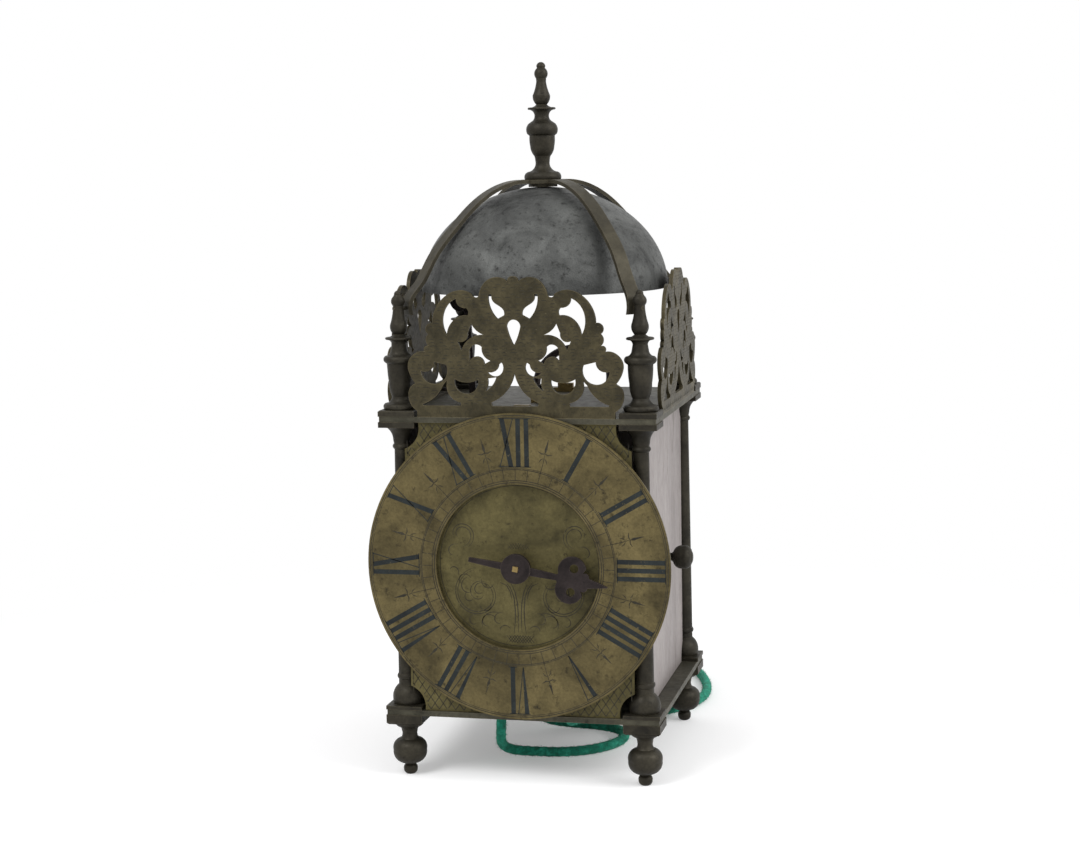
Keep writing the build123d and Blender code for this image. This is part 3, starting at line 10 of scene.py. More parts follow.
# The lantern clock's looks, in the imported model's frame with its dial towards -Y.
# Outlines are in millimetres and become metres as they are built. The stage is in metres.
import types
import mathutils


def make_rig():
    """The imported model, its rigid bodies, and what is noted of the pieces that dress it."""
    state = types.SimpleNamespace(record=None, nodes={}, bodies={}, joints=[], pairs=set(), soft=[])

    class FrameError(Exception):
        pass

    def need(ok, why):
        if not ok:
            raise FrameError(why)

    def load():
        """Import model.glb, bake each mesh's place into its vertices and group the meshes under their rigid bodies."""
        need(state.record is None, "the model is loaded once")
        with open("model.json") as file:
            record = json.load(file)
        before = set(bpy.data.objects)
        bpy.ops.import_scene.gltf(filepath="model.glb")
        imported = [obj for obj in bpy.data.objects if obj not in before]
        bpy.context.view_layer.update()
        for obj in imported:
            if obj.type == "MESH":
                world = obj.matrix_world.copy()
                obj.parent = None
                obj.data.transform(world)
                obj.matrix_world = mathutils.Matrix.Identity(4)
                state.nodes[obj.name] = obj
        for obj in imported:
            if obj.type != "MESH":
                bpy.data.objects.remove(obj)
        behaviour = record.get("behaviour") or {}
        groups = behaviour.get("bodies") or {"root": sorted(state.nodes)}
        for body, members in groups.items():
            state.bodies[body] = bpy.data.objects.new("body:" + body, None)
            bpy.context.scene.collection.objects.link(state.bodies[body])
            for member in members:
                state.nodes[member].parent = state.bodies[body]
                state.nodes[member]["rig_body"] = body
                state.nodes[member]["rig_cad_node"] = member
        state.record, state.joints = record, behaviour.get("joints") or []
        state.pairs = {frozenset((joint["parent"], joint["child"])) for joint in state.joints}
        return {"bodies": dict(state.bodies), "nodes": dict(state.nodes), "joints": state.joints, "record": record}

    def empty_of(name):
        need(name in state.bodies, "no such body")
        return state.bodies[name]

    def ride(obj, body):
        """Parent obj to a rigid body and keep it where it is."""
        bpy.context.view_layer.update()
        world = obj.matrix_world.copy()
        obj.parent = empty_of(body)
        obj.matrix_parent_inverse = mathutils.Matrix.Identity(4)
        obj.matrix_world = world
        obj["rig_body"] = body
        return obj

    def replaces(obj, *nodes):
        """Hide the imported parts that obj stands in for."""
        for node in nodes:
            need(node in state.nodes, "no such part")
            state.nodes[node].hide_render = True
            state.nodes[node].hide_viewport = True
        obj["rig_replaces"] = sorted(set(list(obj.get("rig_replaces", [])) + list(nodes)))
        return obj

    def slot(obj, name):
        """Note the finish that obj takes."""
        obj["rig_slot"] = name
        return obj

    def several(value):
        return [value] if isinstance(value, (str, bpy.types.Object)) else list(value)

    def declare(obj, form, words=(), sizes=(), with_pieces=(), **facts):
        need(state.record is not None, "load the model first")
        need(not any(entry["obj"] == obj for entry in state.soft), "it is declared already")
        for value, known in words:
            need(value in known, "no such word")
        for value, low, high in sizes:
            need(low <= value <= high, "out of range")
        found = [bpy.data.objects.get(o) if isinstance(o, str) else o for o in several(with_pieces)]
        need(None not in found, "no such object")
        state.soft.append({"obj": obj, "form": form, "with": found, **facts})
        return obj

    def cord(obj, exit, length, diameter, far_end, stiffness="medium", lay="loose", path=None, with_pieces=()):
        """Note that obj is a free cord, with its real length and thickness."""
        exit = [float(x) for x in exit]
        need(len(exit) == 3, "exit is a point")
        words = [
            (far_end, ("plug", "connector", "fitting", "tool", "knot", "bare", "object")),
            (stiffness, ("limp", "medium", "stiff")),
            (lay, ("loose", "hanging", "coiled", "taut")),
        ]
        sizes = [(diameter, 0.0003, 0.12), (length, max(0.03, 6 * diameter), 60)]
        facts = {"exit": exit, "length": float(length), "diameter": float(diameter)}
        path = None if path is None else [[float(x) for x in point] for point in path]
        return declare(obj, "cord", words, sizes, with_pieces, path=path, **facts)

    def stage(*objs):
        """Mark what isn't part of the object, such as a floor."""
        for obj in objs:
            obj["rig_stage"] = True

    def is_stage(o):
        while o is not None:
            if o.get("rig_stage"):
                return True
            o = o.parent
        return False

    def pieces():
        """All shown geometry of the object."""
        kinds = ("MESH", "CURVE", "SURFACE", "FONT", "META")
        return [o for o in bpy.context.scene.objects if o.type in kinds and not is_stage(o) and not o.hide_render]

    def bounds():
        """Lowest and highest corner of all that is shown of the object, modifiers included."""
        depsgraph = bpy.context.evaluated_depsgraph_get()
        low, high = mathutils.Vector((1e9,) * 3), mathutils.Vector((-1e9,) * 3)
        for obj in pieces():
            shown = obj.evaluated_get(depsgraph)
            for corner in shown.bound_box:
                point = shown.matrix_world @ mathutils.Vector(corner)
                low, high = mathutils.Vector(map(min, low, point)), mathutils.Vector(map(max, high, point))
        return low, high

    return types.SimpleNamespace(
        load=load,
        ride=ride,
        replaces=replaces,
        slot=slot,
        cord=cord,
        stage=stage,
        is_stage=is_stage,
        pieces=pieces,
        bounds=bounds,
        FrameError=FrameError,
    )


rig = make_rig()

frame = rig.load()
cad_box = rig.bounds()
nodes = frame["nodes"]
MM = 0.001


# ---- camera ----
CAMERA_AT = Vector((258.2, -1116.4, 333.3)) * MM
CAMERA_YAW, CAMERA_PITCH, CAMERA_ROLL = -0.231, -0.132, -0.019
PHOTO_WIDTH = 1080
FOCAL_PIXELS = 2056.3
SENSOR_MM = 36.0


def make_camera():
    """Camera at the photograph's viewpoint: turned about +Z, then tilted, then rolled."""
    forward = Vector((sin(CAMERA_YAW) * cos(CAMERA_PITCH), cos(CAMERA_YAW) * cos(CAMERA_PITCH),
                      sin(CAMERA_PITCH)))
    level = Vector((cos(CAMERA_YAW), -sin(CAMERA_YAW), 0))
    upright = level.cross(forward)
    right = level * cos(CAMERA_ROLL) + upright * sin(CAMERA_ROLL)
    top = upright * cos(CAMERA_ROLL) - level * sin(CAMERA_ROLL)
    data = bpy.data.cameras.new("camera")
    data.sensor_width = SENSOR_MM
    data.lens = FOCAL_PIXELS / PHOTO_WIDTH * SENSOR_MM
    camera = bpy.data.objects.new("camera", data)
    turn = Matrix((right, top, -forward)).transposed().to_4x4()
    camera.matrix_world = Matrix.Translation(CAMERA_AT) @ turn
    bpy.context.scene.collection.objects.link(camera)
    bpy.context.scene.camera = camera


make_camera()


# ---- material helpers ----
def put(tree, kind, **settings):
    """New node. A setting whose name is an input's, with _ for spaces, sets or links that input."""
    made = tree.nodes.new(kind)
    for key, value in settings.items():
        name = key.replace("_", " ")
        socket = next((s for s in made.inputs if s.name.lower() == name and s.enabled), None)
        if socket is None:
            setattr(made, key, value)
        elif isinstance(value, bpy.types.NodeSocket):
            tree.links.new(value, socket)
        else:
            socket.default_value = value
    return made


def blank(name):
    """Material with an empty tree, a Principled shader and its output."""
    material = bpy.data.materials.new(name)
    material.use_nodes = True
    tree = material.node_tree
    tree.nodes.clear()
    shader = tree.nodes.new("ShaderNodeBsdfPrincipled")
    output = tree.nodes.new("ShaderNodeOutputMaterial")
    tree.links.new(shader.outputs["BSDF"], output.inputs["Surface"])
    return material, tree, shader


def place(tree, stretch=(1, 1, 1)):
    """The piece's own coordinates in metres, stretched."""
    where = put(tree, "ShaderNodeTexCoord")
    mapping = put(tree, "ShaderNodeMapping", scale=stretch)
    tree.links.new(where.outputs["Object"], mapping.inputs["Vector"])
    return mapping.outputs["Vector"]


def noise(tree, where, scale, detail=4.0, roughness=0.6, distortion=0.0):
    made = put(tree, "ShaderNodeTexNoise", scale=scale, detail=detail, roughness=roughness,
               distortion=distortion)
    tree.links.new(where, made.inputs["Vector"])
    return made.outputs["Fac"]


def ramp(tree, value, stops):
    """Colour ramp over (position, colour) stops. A bare number stands for a grey."""
    made = put(tree, "ShaderNodeValToRGB")
    tree.links.new(value, made.inputs["Fac"])
    elements = made.color_ramp.elements
    while len(elements) < len(stops):
        elements.new(0.5)
    for element, (position, colour) in zip(elements, stops):
        element.position = position
        element.color = (*colour, 1) if isinstance(colour, tuple) else (colour, colour, colour, 1)
    return made.outputs["Color"]


def blend_colours(tree, share, first, second, how="MIX"):
    made = put(tree, "ShaderNodeMix", data_type="RGBA", blend_type=how)
    sockets = (made.inputs[0], made.inputs[6], made.inputs[7])
    for socket, value in zip(sockets, (share, first, second)):
        if isinstance(value, bpy.types.NodeSocket):
            tree.links.new(value, socket)
        else:
            socket.default_value = value if isinstance(value, float) else (*value, 1)
    return made.outputs[2]


def calc(tree, how, first, second=0.0):
    made = put(tree, "ShaderNodeMath", operation=how)
    for socket, value in zip(made.inputs, (first, second)):
        if isinstance(value, bpy.types.NodeSocket):
            tree.links.new(value, socket)
        else:
            socket.default_value = value
    return made.outputs[0]


def seen_rays(tree):
    """1 for rays that show a surface: direct, mirrored or through glass."""
    path = put(tree, "ShaderNodeLightPath")
    seen = calc(tree, "MAXIMUM", path.outputs["Is Camera Ray"], path.outputs["Is Glossy Ray"])
    return calc(tree, "MAXIMUM", seen, path.outputs["Is Transmission Ray"])


def bumped(tree, shader, height, strength, distance):
    made = put(tree, "ShaderNodeBump", strength=strength, distance=distance)
    tree.links.new(height, made.inputs["Height"])
    tree.links.new(made.outputs["Normal"], shader.inputs["Normal"])


EDGE_TURN = [(0.80, 1.0), (0.985, 0.0)]


def worn_edges(tree, radius):
    """1 on outer and inner edges, 0 on flat ground, from a bevelled normal."""
    soft = put(tree, "ShaderNodeBevel", radius=radius, samples=4)
    true = put(tree, "ShaderNodeNewGeometry")
    product = put(tree, "ShaderNodeVectorMath", operation="DOT_PRODUCT")
    tree.links.new(soft.outputs["Normal"], product.inputs[0])
    tree.links.new(true.outputs["Normal"], product.inputs[1])
    return ramp(tree, product.outputs["Value"], EDGE_TURN)


BROAD_PATCHES = (0.30, 0.70)
SPECKLE_FINER, SPECKLE_SHARE = 7, 0.85
GRAIN_SHADE = [(0.25, 0.78), (0.75, 1.15)]
WEAR_FINER, WEAR_PATCHES = 3, [(0.35, 0.15), (0.65, 0.9)]
METAL_SPECULAR = 0.2
METAL_BUMP_DEPTH = 0.0002


def metal(name, dark, light, spot, worn=None, metallic=0.75, rough=(0.42, 0.62), patch=45.0,
          grain=700.0, spots=(0.60, 0.72), bump=0.25, stretch=(1, 1, 1), edge=0.0006):
    """Aged metal: broad patches from dark to light, small spots, fine grain and worn edges."""
    material, tree, shader = blank(name)
    where = place(tree, stretch)
    broad = noise(tree, where, patch, 6.0, 0.62, 0.6)
    colour = ramp(tree, broad, [(BROAD_PATCHES[0], dark), (BROAD_PATCHES[1], light)])
    speckle = noise(tree, where, patch * SPECKLE_FINER, 5.0, 0.7)
    share = ramp(tree, speckle, [(spots[0], 0.0), (spots[1], SPECKLE_SHARE)])
    colour = blend_colours(tree, share, colour, spot)
    fine = noise(tree, where, grain, 3.0, 0.6)
    shade = ramp(tree, fine, GRAIN_SHADE)
    colour = blend_colours(tree, 1.0, colour, shade, "MULTIPLY")
    if worn:
        wear = calc(tree, "MULTIPLY", worn_edges(tree, edge),
                    ramp(tree, noise(tree, where, patch * WEAR_FINER, 4.0), WEAR_PATCHES))
        colour = blend_colours(tree, wear, colour, worn)
    tree.links.new(colour, shader.inputs["Base Color"])
    shader.inputs["Metallic"].default_value = metallic
    shader.inputs["Specular IOR Level"].default_value = METAL_SPECULAR
    roughness = ramp(tree, speckle, [(0.3, rough[0]), (0.7, rough[1])])
    tree.links.new(roughness, shader.inputs["Roughness"])
    bumped(tree, shader, calc(tree, "ADD", fine, speckle), bump, METAL_BUMP_DEPTH)
    return material


def paint(material, *names):
    """Give CAD nodes a material."""
    for name in names:
        mesh = nodes[name].data
        mesh.materials.clear()
        mesh.materials.append(material)


def link(name, mesh, material):
    """New object in the scene, with its material."""
    mesh.materials.append(material)
    made = bpy.data.objects.new(name, mesh)
    bpy.context.scene.collection.objects.link(made)
    return made


# ---- ropes ----
# The routes are the solids' routes, point for point, from hole to coil and back.
ROPE = 5.6 * MM
FLOOR = 3.0
COIL_X, COIL_Y = -6.0, 158.0
COIL_OUTER = 41.0
COIL_PITCH = 7.2
COIL_RISE = 6.6
COIL_LAYERS = 4
LAYER_HALF_TURNS = 6
COIL_TOP = FLOOR + (COIL_LAYERS - 1) * COIL_RISE
COIL_END = 5.6
HALF_TURN_POINTS = 8

FRONT_POINTS = [
    (-19.0, -44.0, 35.0), (-19.0, -44.0, 27.0), (-20.2, -41.5, 17.0), (-22.0, -34.0, 8.8),
    (-17.5, -26.5, 3.8), (-6.0, -24.0, FLOOR), (10.0, -23.5, FLOOR), (25.0, -16.5, FLOOR),
    (36.5, -3.0, FLOOR), (40.5, 13.5, FLOOR), (33.5, 28.5, FLOOR), (18.5, 35.0, FLOOR),
    (2.0, 36.5, FLOOR), (-12.5, 35.0, 5.0), (-20.5, 29.0, 13.0), (-19.0, 22.0, 24.0),
    (-19.0, 22.0, 35.0),
]
REAR_POINTS = [
    (19.0, -44.0, 35.0), (19.0, -44.0, 29.6), (19.3, -40.1, 25.7), (20.2, -32.0, 24.6),
    (22.4, -18.0, 22.4), (26.5, 2.0, 18.0), (31.0, 21.0, 14.0), (36.0, 39.0, 9.0),
    (43.0, 56.5, 4.2), (55.0, 75.0, FLOOR), (67.0, 92.0, FLOOR), (71.5, 113.0, FLOOR),
    (69.0, 136.0, FLOOR), (62.0, 160.0, FLOOR), (53.0, 180.0, FLOOR), (36.0, 193.0, FLOOR),
    (15.0, COIL_Y + COIL_OUTER, FLOOR), (COIL_X + COIL_END, COIL_Y + COIL_OUTER, FLOOR),
]
RETURN_POINTS = [
    (COIL_X + COIL_END, COIL_Y - COIL_OUTER, COIL_TOP), (9.0, COIL_Y - COIL_OUTER, COIL_TOP),
    (21.0, 113.0, 19.5), (29.5, 102.0, 13.0), (30.0, 87.0, 6.5), (26.0, 70.0, 3.4),
    (20.5, 54.0, 5.0), (17.8, 40.0, 10.5), (18.4, 29.5, 19.0), (19.0, 22.0, 27.5),
    (19.0, 22.0, 35.0),
]


def coil_points():
    """The coil's turns: half turns between its crossings, out and in, climbing at each reversal."""
    out, height, marks = COIL_OUTER, FLOOR, [(COIL_OUTER, FLOOR)]
    for layer in range(COIL_LAYERS):
        step = COIL_PITCH / 2 * (1 if layer % 2 else -1)
        for _ in range(LAYER_HALF_TURNS - 1):
            out += step
            marks.append((out, height))
        if layer < COIL_LAYERS - 1:
            height += COIL_RISE
            marks.append((out, height))
    swell = 1 / cos(pi / 2 / HALF_TURN_POINTS)
    points = []
    for index, ((out, height), (next_out, next_height)) in enumerate(zip(marks, marks[1:])):
        side = 1 if index % 2 == 0 else -1
        radius = (out + next_out) / 2
        middle = COIL_Y + side * (out - next_out) / 2
        for number in range(HALF_TURN_POINTS):
            share = (number + 0.5) / HALF_TURN_POINTS
            turn = pi * share
            points.append((COIL_X - side * sin(turn) * radius * swell,
                           middle + side * cos(turn) * radius * swell,
                           height + (next_height - height) * (1 - cos(turn)) / 2))
    return points


def nurbs_route(points):
    """Points along the smooth NURBS line whose control points are the route's, in metres."""
    curve = bpy.data.curves.new("route", "CURVE")
    curve.dimensions = "3D"
    curve.resolution_u = 6
    spline = curve.splines.new("NURBS")
    spline.points.add(len(points) - 1)
    for point, (x, y, z) in zip(spline.points, points):
        point.co = (x * MM, y * MM, z * MM, 1)
    spline.order_u = 3
    spline.use_endpoint_u = True
    probe = bpy.data.objects.new("route", curve)
    bpy.context.scene.collection.objects.link(probe)
    mesh = bpy.data.meshes.new_from_object(probe)
    line = [vertex.co.copy() for vertex in mesh.vertices]
    bpy.data.objects.remove(probe)
    bpy.data.curves.remove(curve)
    bpy.data.meshes.remove(mesh)
    return line


def spaced(line, step):
    """The line walked at an even step."""
    walked, rest = [line[0]], step
    for start, end in zip(line, line[1:]):
        length = (end - start).length
        while length >= rest:
            walked.append(start.lerp(end, rest / length))
            start, length, rest = walked[-1], length - rest, step
        rest -= length
    if (walked[-1] - line[-1]).length > step / 4:
        walked.append(line[-1])
    return walked


def sections(line):
    """A point, direction and two steady side directions at each point of a line."""
    side = Vector((1, 0, 0))
    found = []
    for index, point in enumerate(line):
        before, after = line[max(index - 1, 0)], line[min(index + 1, len(line) - 1)]
        ahead = (after - before).normalized()
        side = side - ahead * side.dot(ahead)
        if side.length < 1e-3:
            side = ahead.orthogonal()
        side = side.normalized()
        found.append((point, ahead, side, ahead.cross(side)))
    return found


LAY_LENGTH = 15.0 * MM
STRANDS = 3
RING = 18
GROOVE = 0.09
UNEVEN = 0.02
ROPE_STEP = 1.3 * MM


def rope_mesh(name, line):
    """Closed tube whose section has one lobe per strand and turns along the rope."""
    draw = random.Random(len(line))
    tube = bmesh.new()
    rings = []
    for number, (point, _, across, up) in enumerate(sections(line)):
        lay = 2 * pi * number * ROPE_STEP / LAY_LENGTH
        ring = []
        for corner in range(RING):
            turn = 2 * pi * corner / RING
            lobe = abs(cos((turn - lay) * STRANDS / 2))
            radius = ROPE / 2 * (1 - GROOVE + GROOVE * lobe + draw.uniform(-UNEVEN, UNEVEN))
            ring.append(tube.verts.new(point + (across * cos(turn) + up * sin(turn)) * radius))
        rings.append(ring)
    for one, other in zip(rings, rings[1:]):
        for corner in range(RING):
            following = (corner + 1) % RING
            tube.faces.new((one[corner], one[following], other[following], other[corner]))
    tube.faces.new(rings[0][::-1])
    tube.faces.new(rings[-1])
    mesh = bpy.data.meshes.new(name)
    tube.to_mesh(mesh)
    tube.free()
    mesh.polygons.foreach_set("use_smooth", [True] * len(mesh.polygons))
    return mesh


FUZZ_PER_MM = 16
FUZZ_LENGTH = (0.7, 2.1)
FUZZ_WIDTH = 0.08 * MM
FUZZ_FLOOR = 0.1 * MM
FUZZ_ROOT = 0.40
FUZZ_LEAN = 1.2
HALF_FIBRE = 0.6
KNEE_LEAN, TIP_LIFT = 0.3, 0.5
KNEE_WIDTH = 0.7


def fuzz_mesh(name, line, seed):
    """Fibres standing out of a rope, each a thin bent blade."""
    draw = random.Random(seed)
    corners, faces = [], []
    for point, ahead, across, up in sections(line):
        for _ in range(round(FUZZ_PER_MM * ROPE_STEP / MM)):
            turn = draw.uniform(0, 2 * pi)
            outward = across * cos(turn) + up * sin(turn)
            around = ahead.cross(outward)
            length = draw.uniform(*FUZZ_LENGTH) * MM
            lean = (ahead * draw.uniform(-FUZZ_LEAN, FUZZ_LEAN)
                    + around * draw.uniform(-FUZZ_LEAN, FUZZ_LEAN))
            root = point + ahead * draw.uniform(0, ROPE_STEP) + outward * ROPE * FUZZ_ROOT
            knee = root + (outward + lean * KNEE_LEAN).normalized() * length * HALF_FIBRE
            tip = knee + (outward * TIP_LIFT + lean).normalized() * length * HALF_FIBRE
            wide = ahead.lerp(around, draw.random()).normalized() * FUZZ_WIDTH
            first = len(corners)
            bend = wide * KNEE_WIDTH
            for corner in (root - wide, root + wide, knee - bend, knee + bend, tip):
                corners.append((corner.x, corner.y, max(corner.z, FUZZ_FLOOR)))
            faces += [(first, first + 1, first + 3, first + 2), (first + 2, first + 3, first + 4)]
    mesh = bpy.data.meshes.new(name)
    mesh.from_pydata(corners, [], faces)
    return mesh


ROPE_GREENS = [(0.32, (0.002, 0.085, 0.052)), (0.52, (0.004, 0.21, 0.13)),
               (0.72, (0.04, 0.40, 0.27))]
THREAD_SHADE = [(0.3, 0.65), (0.7, 1.25)]


def rope_material():
    """Green cotton: uneven in tone, with fine threads and a soft sheen."""
    material, tree, shader = blank("rope_cotton")
    where = place(tree)
    tone = ramp(tree, noise(tree, where, 260.0, 6.0, 0.7), ROPE_GREENS)
    threads = noise(tree, where, 1900.0, 2.0, 0.5)
    shade = ramp(tree, threads, THREAD_SHADE)
    tone = blend_colours(tree, 1.0, tone, shade, "MULTIPLY")
    tree.links.new(tone, shader.inputs["Base Color"])
    shader.inputs["Roughness"].default_value = 0.95
    shader.inputs["Sheen Weight"].default_value = 0.35
    shader.inputs["Sheen Tint"].default_value = (0.25, 0.8, 0.6, 1)
    bumped(tree, shader, threads, 0.8, 0.0004)
    return material


cotton = rope_material()


def make_rope(name, points, *replaced):
    """Rope along a route, with its fibres, in place of its plain solids."""
    route = nurbs_route(points)
    walked = spaced(route, ROPE_STEP)
    rope = link(name, rope_mesh(name, walked), cotton)
    fuzz = link(f"{name}_fibres", fuzz_mesh(name, walked, len(points)), cotton)
    for piece in (rope, fuzz):
        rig.ride(piece, "frame")
        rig.slot(piece, "rope")
    fuzz.parent = rope
    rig.replaces(rope, *replaced)
    return rope, route


def route_length(line):
    return sum((end - start).length for start, end in zip(line, line[1:]))


front_rope, front_route = make_rope("front_rope", FRONT_POINTS, "rope_front")
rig.cord(front_rope, exit=front_route[0], length=route_length(front_route), diameter=ROPE,
        far_end="object", stiffness="limp", lay="loose", path=front_route)
rear_rope, rear_route = make_rope(
    "rear_rope", REAR_POINTS + coil_points() + RETURN_POINTS, "rope_rear", "rope_coil",
    "rope_return")
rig.cord(rear_rope, exit=rear_route[0], length=route_length(rear_route), diameter=ROPE,
        far_end="object", stiffness="limp", lay="coiled", path=rear_route)

# The rope inside the case: up to each pulley, half round it and down again.
ROPE_LINE = 19.0
PLATE_UNDER = 35.0
TRAIN_HEIGHT = 79.9
GOING_Y, STRIKE_Y = -44.0, 22.0
HALF_ROUND_POINTS = 24


def held_line(y):
    """Up, half round the pulley and down, in metres."""
    line = [Vector((-ROPE_LINE, y, PLATE_UNDER)), Vector((-ROPE_LINE, y, TRAIN_HEIGHT))]
    for number in range(1, HALF_ROUND_POINTS + 1):
        turn = pi * (1 - number / HALF_ROUND_POINTS)
        line.append(Vector((ROPE_LINE * cos(turn), y, TRAIN_HEIGHT + ROPE_LINE * sin(turn))))
    line.append(Vector((ROPE_LINE, y, PLATE_UNDER)))
    return [point * MM for point in line]


def make_held_rope(name, y):
    walked = spaced(held_line(y), ROPE_STEP)
    held = link(name, rope_mesh(name, walked), cotton)
    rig.ride(held, "frame")
    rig.slot(held, "rope")
    return held


going_held_rope = make_held_rope("going_held_rope", GOING_Y)
make_held_rope("strike_held_rope", STRIKE_Y)
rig.replaces(going_held_rope, "rope_held")


# ---- metals ----
turned_brass = metal("turned_brass", (0.013, 0.0115, 0.0085), (0.042, 0.037, 0.026),
                     (0.009, 0.008, 0.007), worn=(0.095, 0.080, 0.050), metallic=0.45, patch=60,
                     bump=0.35)
plate_brass = metal("plate_brass", (0.028, 0.026, 0.018), (0.090, 0.084, 0.060),
                    (0.016, 0.015, 0.011), worn=(0.17, 0.15, 0.10), metallic=0.45, patch=34,
                    bump=0.4)
dial_plate_brass = metal("dial_plate_brass", (0.040, 0.034, 0.014), (0.125, 0.105, 0.042),
                         (0.028, 0.024, 0.013), metallic=0.4, patch=45, bump=0.35)
door_brass = metal("door_brass", (0.195, 0.172, 0.166), (0.35, 0.315, 0.305), (0.135, 0.115, 0.11),
                   metallic=0.35, rough=(0.40, 0.58), patch=16, stretch=(1, 1, 0.3))
dial_brass = metal("dial_brass", (0.044, 0.035, 0.015), (0.155, 0.122, 0.052),
                   (0.018, 0.015, 0.009), metallic=0.4, patch=34, spots=(0.56, 0.72), bump=0.4)
fret_brass = metal("fret_brass", (0.022, 0.019, 0.011), (0.078, 0.065, 0.034),
                   (0.012, 0.011, 0.008), worn=(0.18, 0.145, 0.080), metallic=0.4, patch=70,
                   bump=0.4)
bell_metal = metal("bell_metal", (0.026, 0.027, 0.026), (0.118, 0.121, 0.116),
                   (0.014, 0.014, 0.013), metallic=0.35, rough=(0.42, 0.62), patch=38, grain=1300,
                   spots=(0.54, 0.70), bump=0.9)
strap_brass = metal("strap_brass", (0.024, 0.021, 0.014), (0.062, 0.055, 0.037),
                    (0.014, 0.013, 0.009), worn=(0.13, 0.11, 0.070), metallic=0.45, patch=50)
movement_brass = metal("movement_brass", (0.20, 0.14, 0.055), (0.36, 0.265, 0.11),
                       (0.12, 0.09, 0.04), metallic=0.8, rough=(0.32, 0.48), patch=60)
dark_steel = metal("dark_steel", (0.012, 0.009, 0.009), (0.034, 0.026, 0.025),
                   (0.008, 0.007, 0.007), worn=(0.09, 0.07, 0.062), metallic=0.5, patch=80)
numeral_wax = metal("numeral_wax", (0.007, 0.009, 0.010), (0.020, 0.025, 0.025),
                    (0.10, 0.085, 0.045), metallic=0.0, rough=(0.55, 0.75), patch=70,
                    spots=(0.60, 0.70))
# Engraved cuts: the dark colour is painted shade for the inside of the grooves, with lighter brass-coloured spots in
# it.
painted_groove_shade = metal("painted_groove_shade", (0.016, 0.014, 0.010), (0.042, 0.038, 0.026), (0.12, 0.10, 0.05),
                 metallic=0.1, rough=(0.6, 0.8), patch=55, spots=(0.56, 0.68))

FINISHES = {
    "turned_brass": turned_brass, "plate_brass": plate_brass, "dial_plate_brass": dial_plate_brass,
    "door_brass": door_brass, "dial_brass": dial_brass, "fret_brass": fret_brass,
    "bell_metal": bell_metal, "strap_brass": strap_brass, "movement_brass": movement_brass,
    "dark_steel": dark_steel,
}
for part in frame["record"]["subparts"]:
    if part["material_slot"] in FINISHES:
        paint(FINISHES[part["material_slot"]], part["node"])


# ---- engraving ----
DIAL_HEIGHT = 118.9
RING_FRONT = -77.6
DISC_FRONT = -73.6
FRET_FRONT = 75.0
ROOF = 198.5
PROUD, SUNK = 0.04, 0.08  # how far a cut's bar stands above its face and below it


class Strips:
    """Thin closed bars laid along lines on a flat face, gathered into one mesh."""

    def __init__(self, to_world):
        self.to_world = to_world
        self.corners, self.faces = [], []

    def add(self, line, widths):
        """A bar along (across, up) points, with one half width or one for each point."""
        if not isinstance(widths, (list, tuple)):
            widths = [widths] * len(line)
        first = len(self.corners)
        for index, (across, up) in enumerate(line):
            before, after = line[max(index - 1, 0)], line[min(index + 1, len(line) - 1)]
            run, rise = after[0] - before[0], after[1] - before[1]
            length = hypot(run, rise) or 1.0
            side, lift = -rise / length * widths[index], run / length * widths[index]
            for sign, out in ((1, -SUNK), (1, PROUD), (-1, PROUD), (-1, -SUNK)):
                self.corners.append(self.to_world(across + sign * side, up + sign * lift, out))
        for index in range(len(line) - 1):
            start = first + 4 * index
            for corner in range(4):
                following = (corner + 1) % 4
                self.faces.append((start + corner, start + following, start + 4 + following,
                                   start + 4 + corner))
        last = first + 4 * (len(line) - 1)
        self.faces.append((first + 3, first + 2, first + 1, first))
        self.faces.append((last, last + 1, last + 2, last + 3))

    def made(self, name, material, body="frame", slot="dial_brass"):
        mesh = bpy.data.meshes.new(name)
        mesh.from_pydata([tuple(value * MM for value in corner) for corner in self.corners], [],
                         self.faces)
        shell = bmesh.new()
        shell.from_mesh(mesh)
        bmesh.ops.recalc_face_normals(shell, faces=shell.faces)
        shell.to_mesh(mesh)
        shell.free()
        piece = link(name, mesh, material)
        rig.ride(piece, body)
        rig.slot(piece, slot)
        return piece


def ring_line(radius, count=160):
    return [(radius * sin(2 * pi * n / count), radius * cos(2 * pi * n / count))
            for n in range(count + 1)]


def spoke(turn, points):
    """(across, out) points carried to an angle clockwise from the top, in degrees."""
    turn = radians(turn)
    return [(across * cos(turn) + out * sin(turn), out * cos(turn) - across * sin(turn))
            for across, out in points]


NUMERALS = ["I", "II", "III", "IIII", "V", "VI", "VII", "VIII", "IX", "X", "XI", "XII"]
LETTER_WIDTH = {"I": 4.5, "V": 7.0, "X": 8.2}
NUMERAL_FOOT, NUMERAL_HEAD = 54.0, 79.6
BROAD, HAIR = 1.25, 0.22
V_FOOT = 0.3
LETTER_ROOM = 0.5


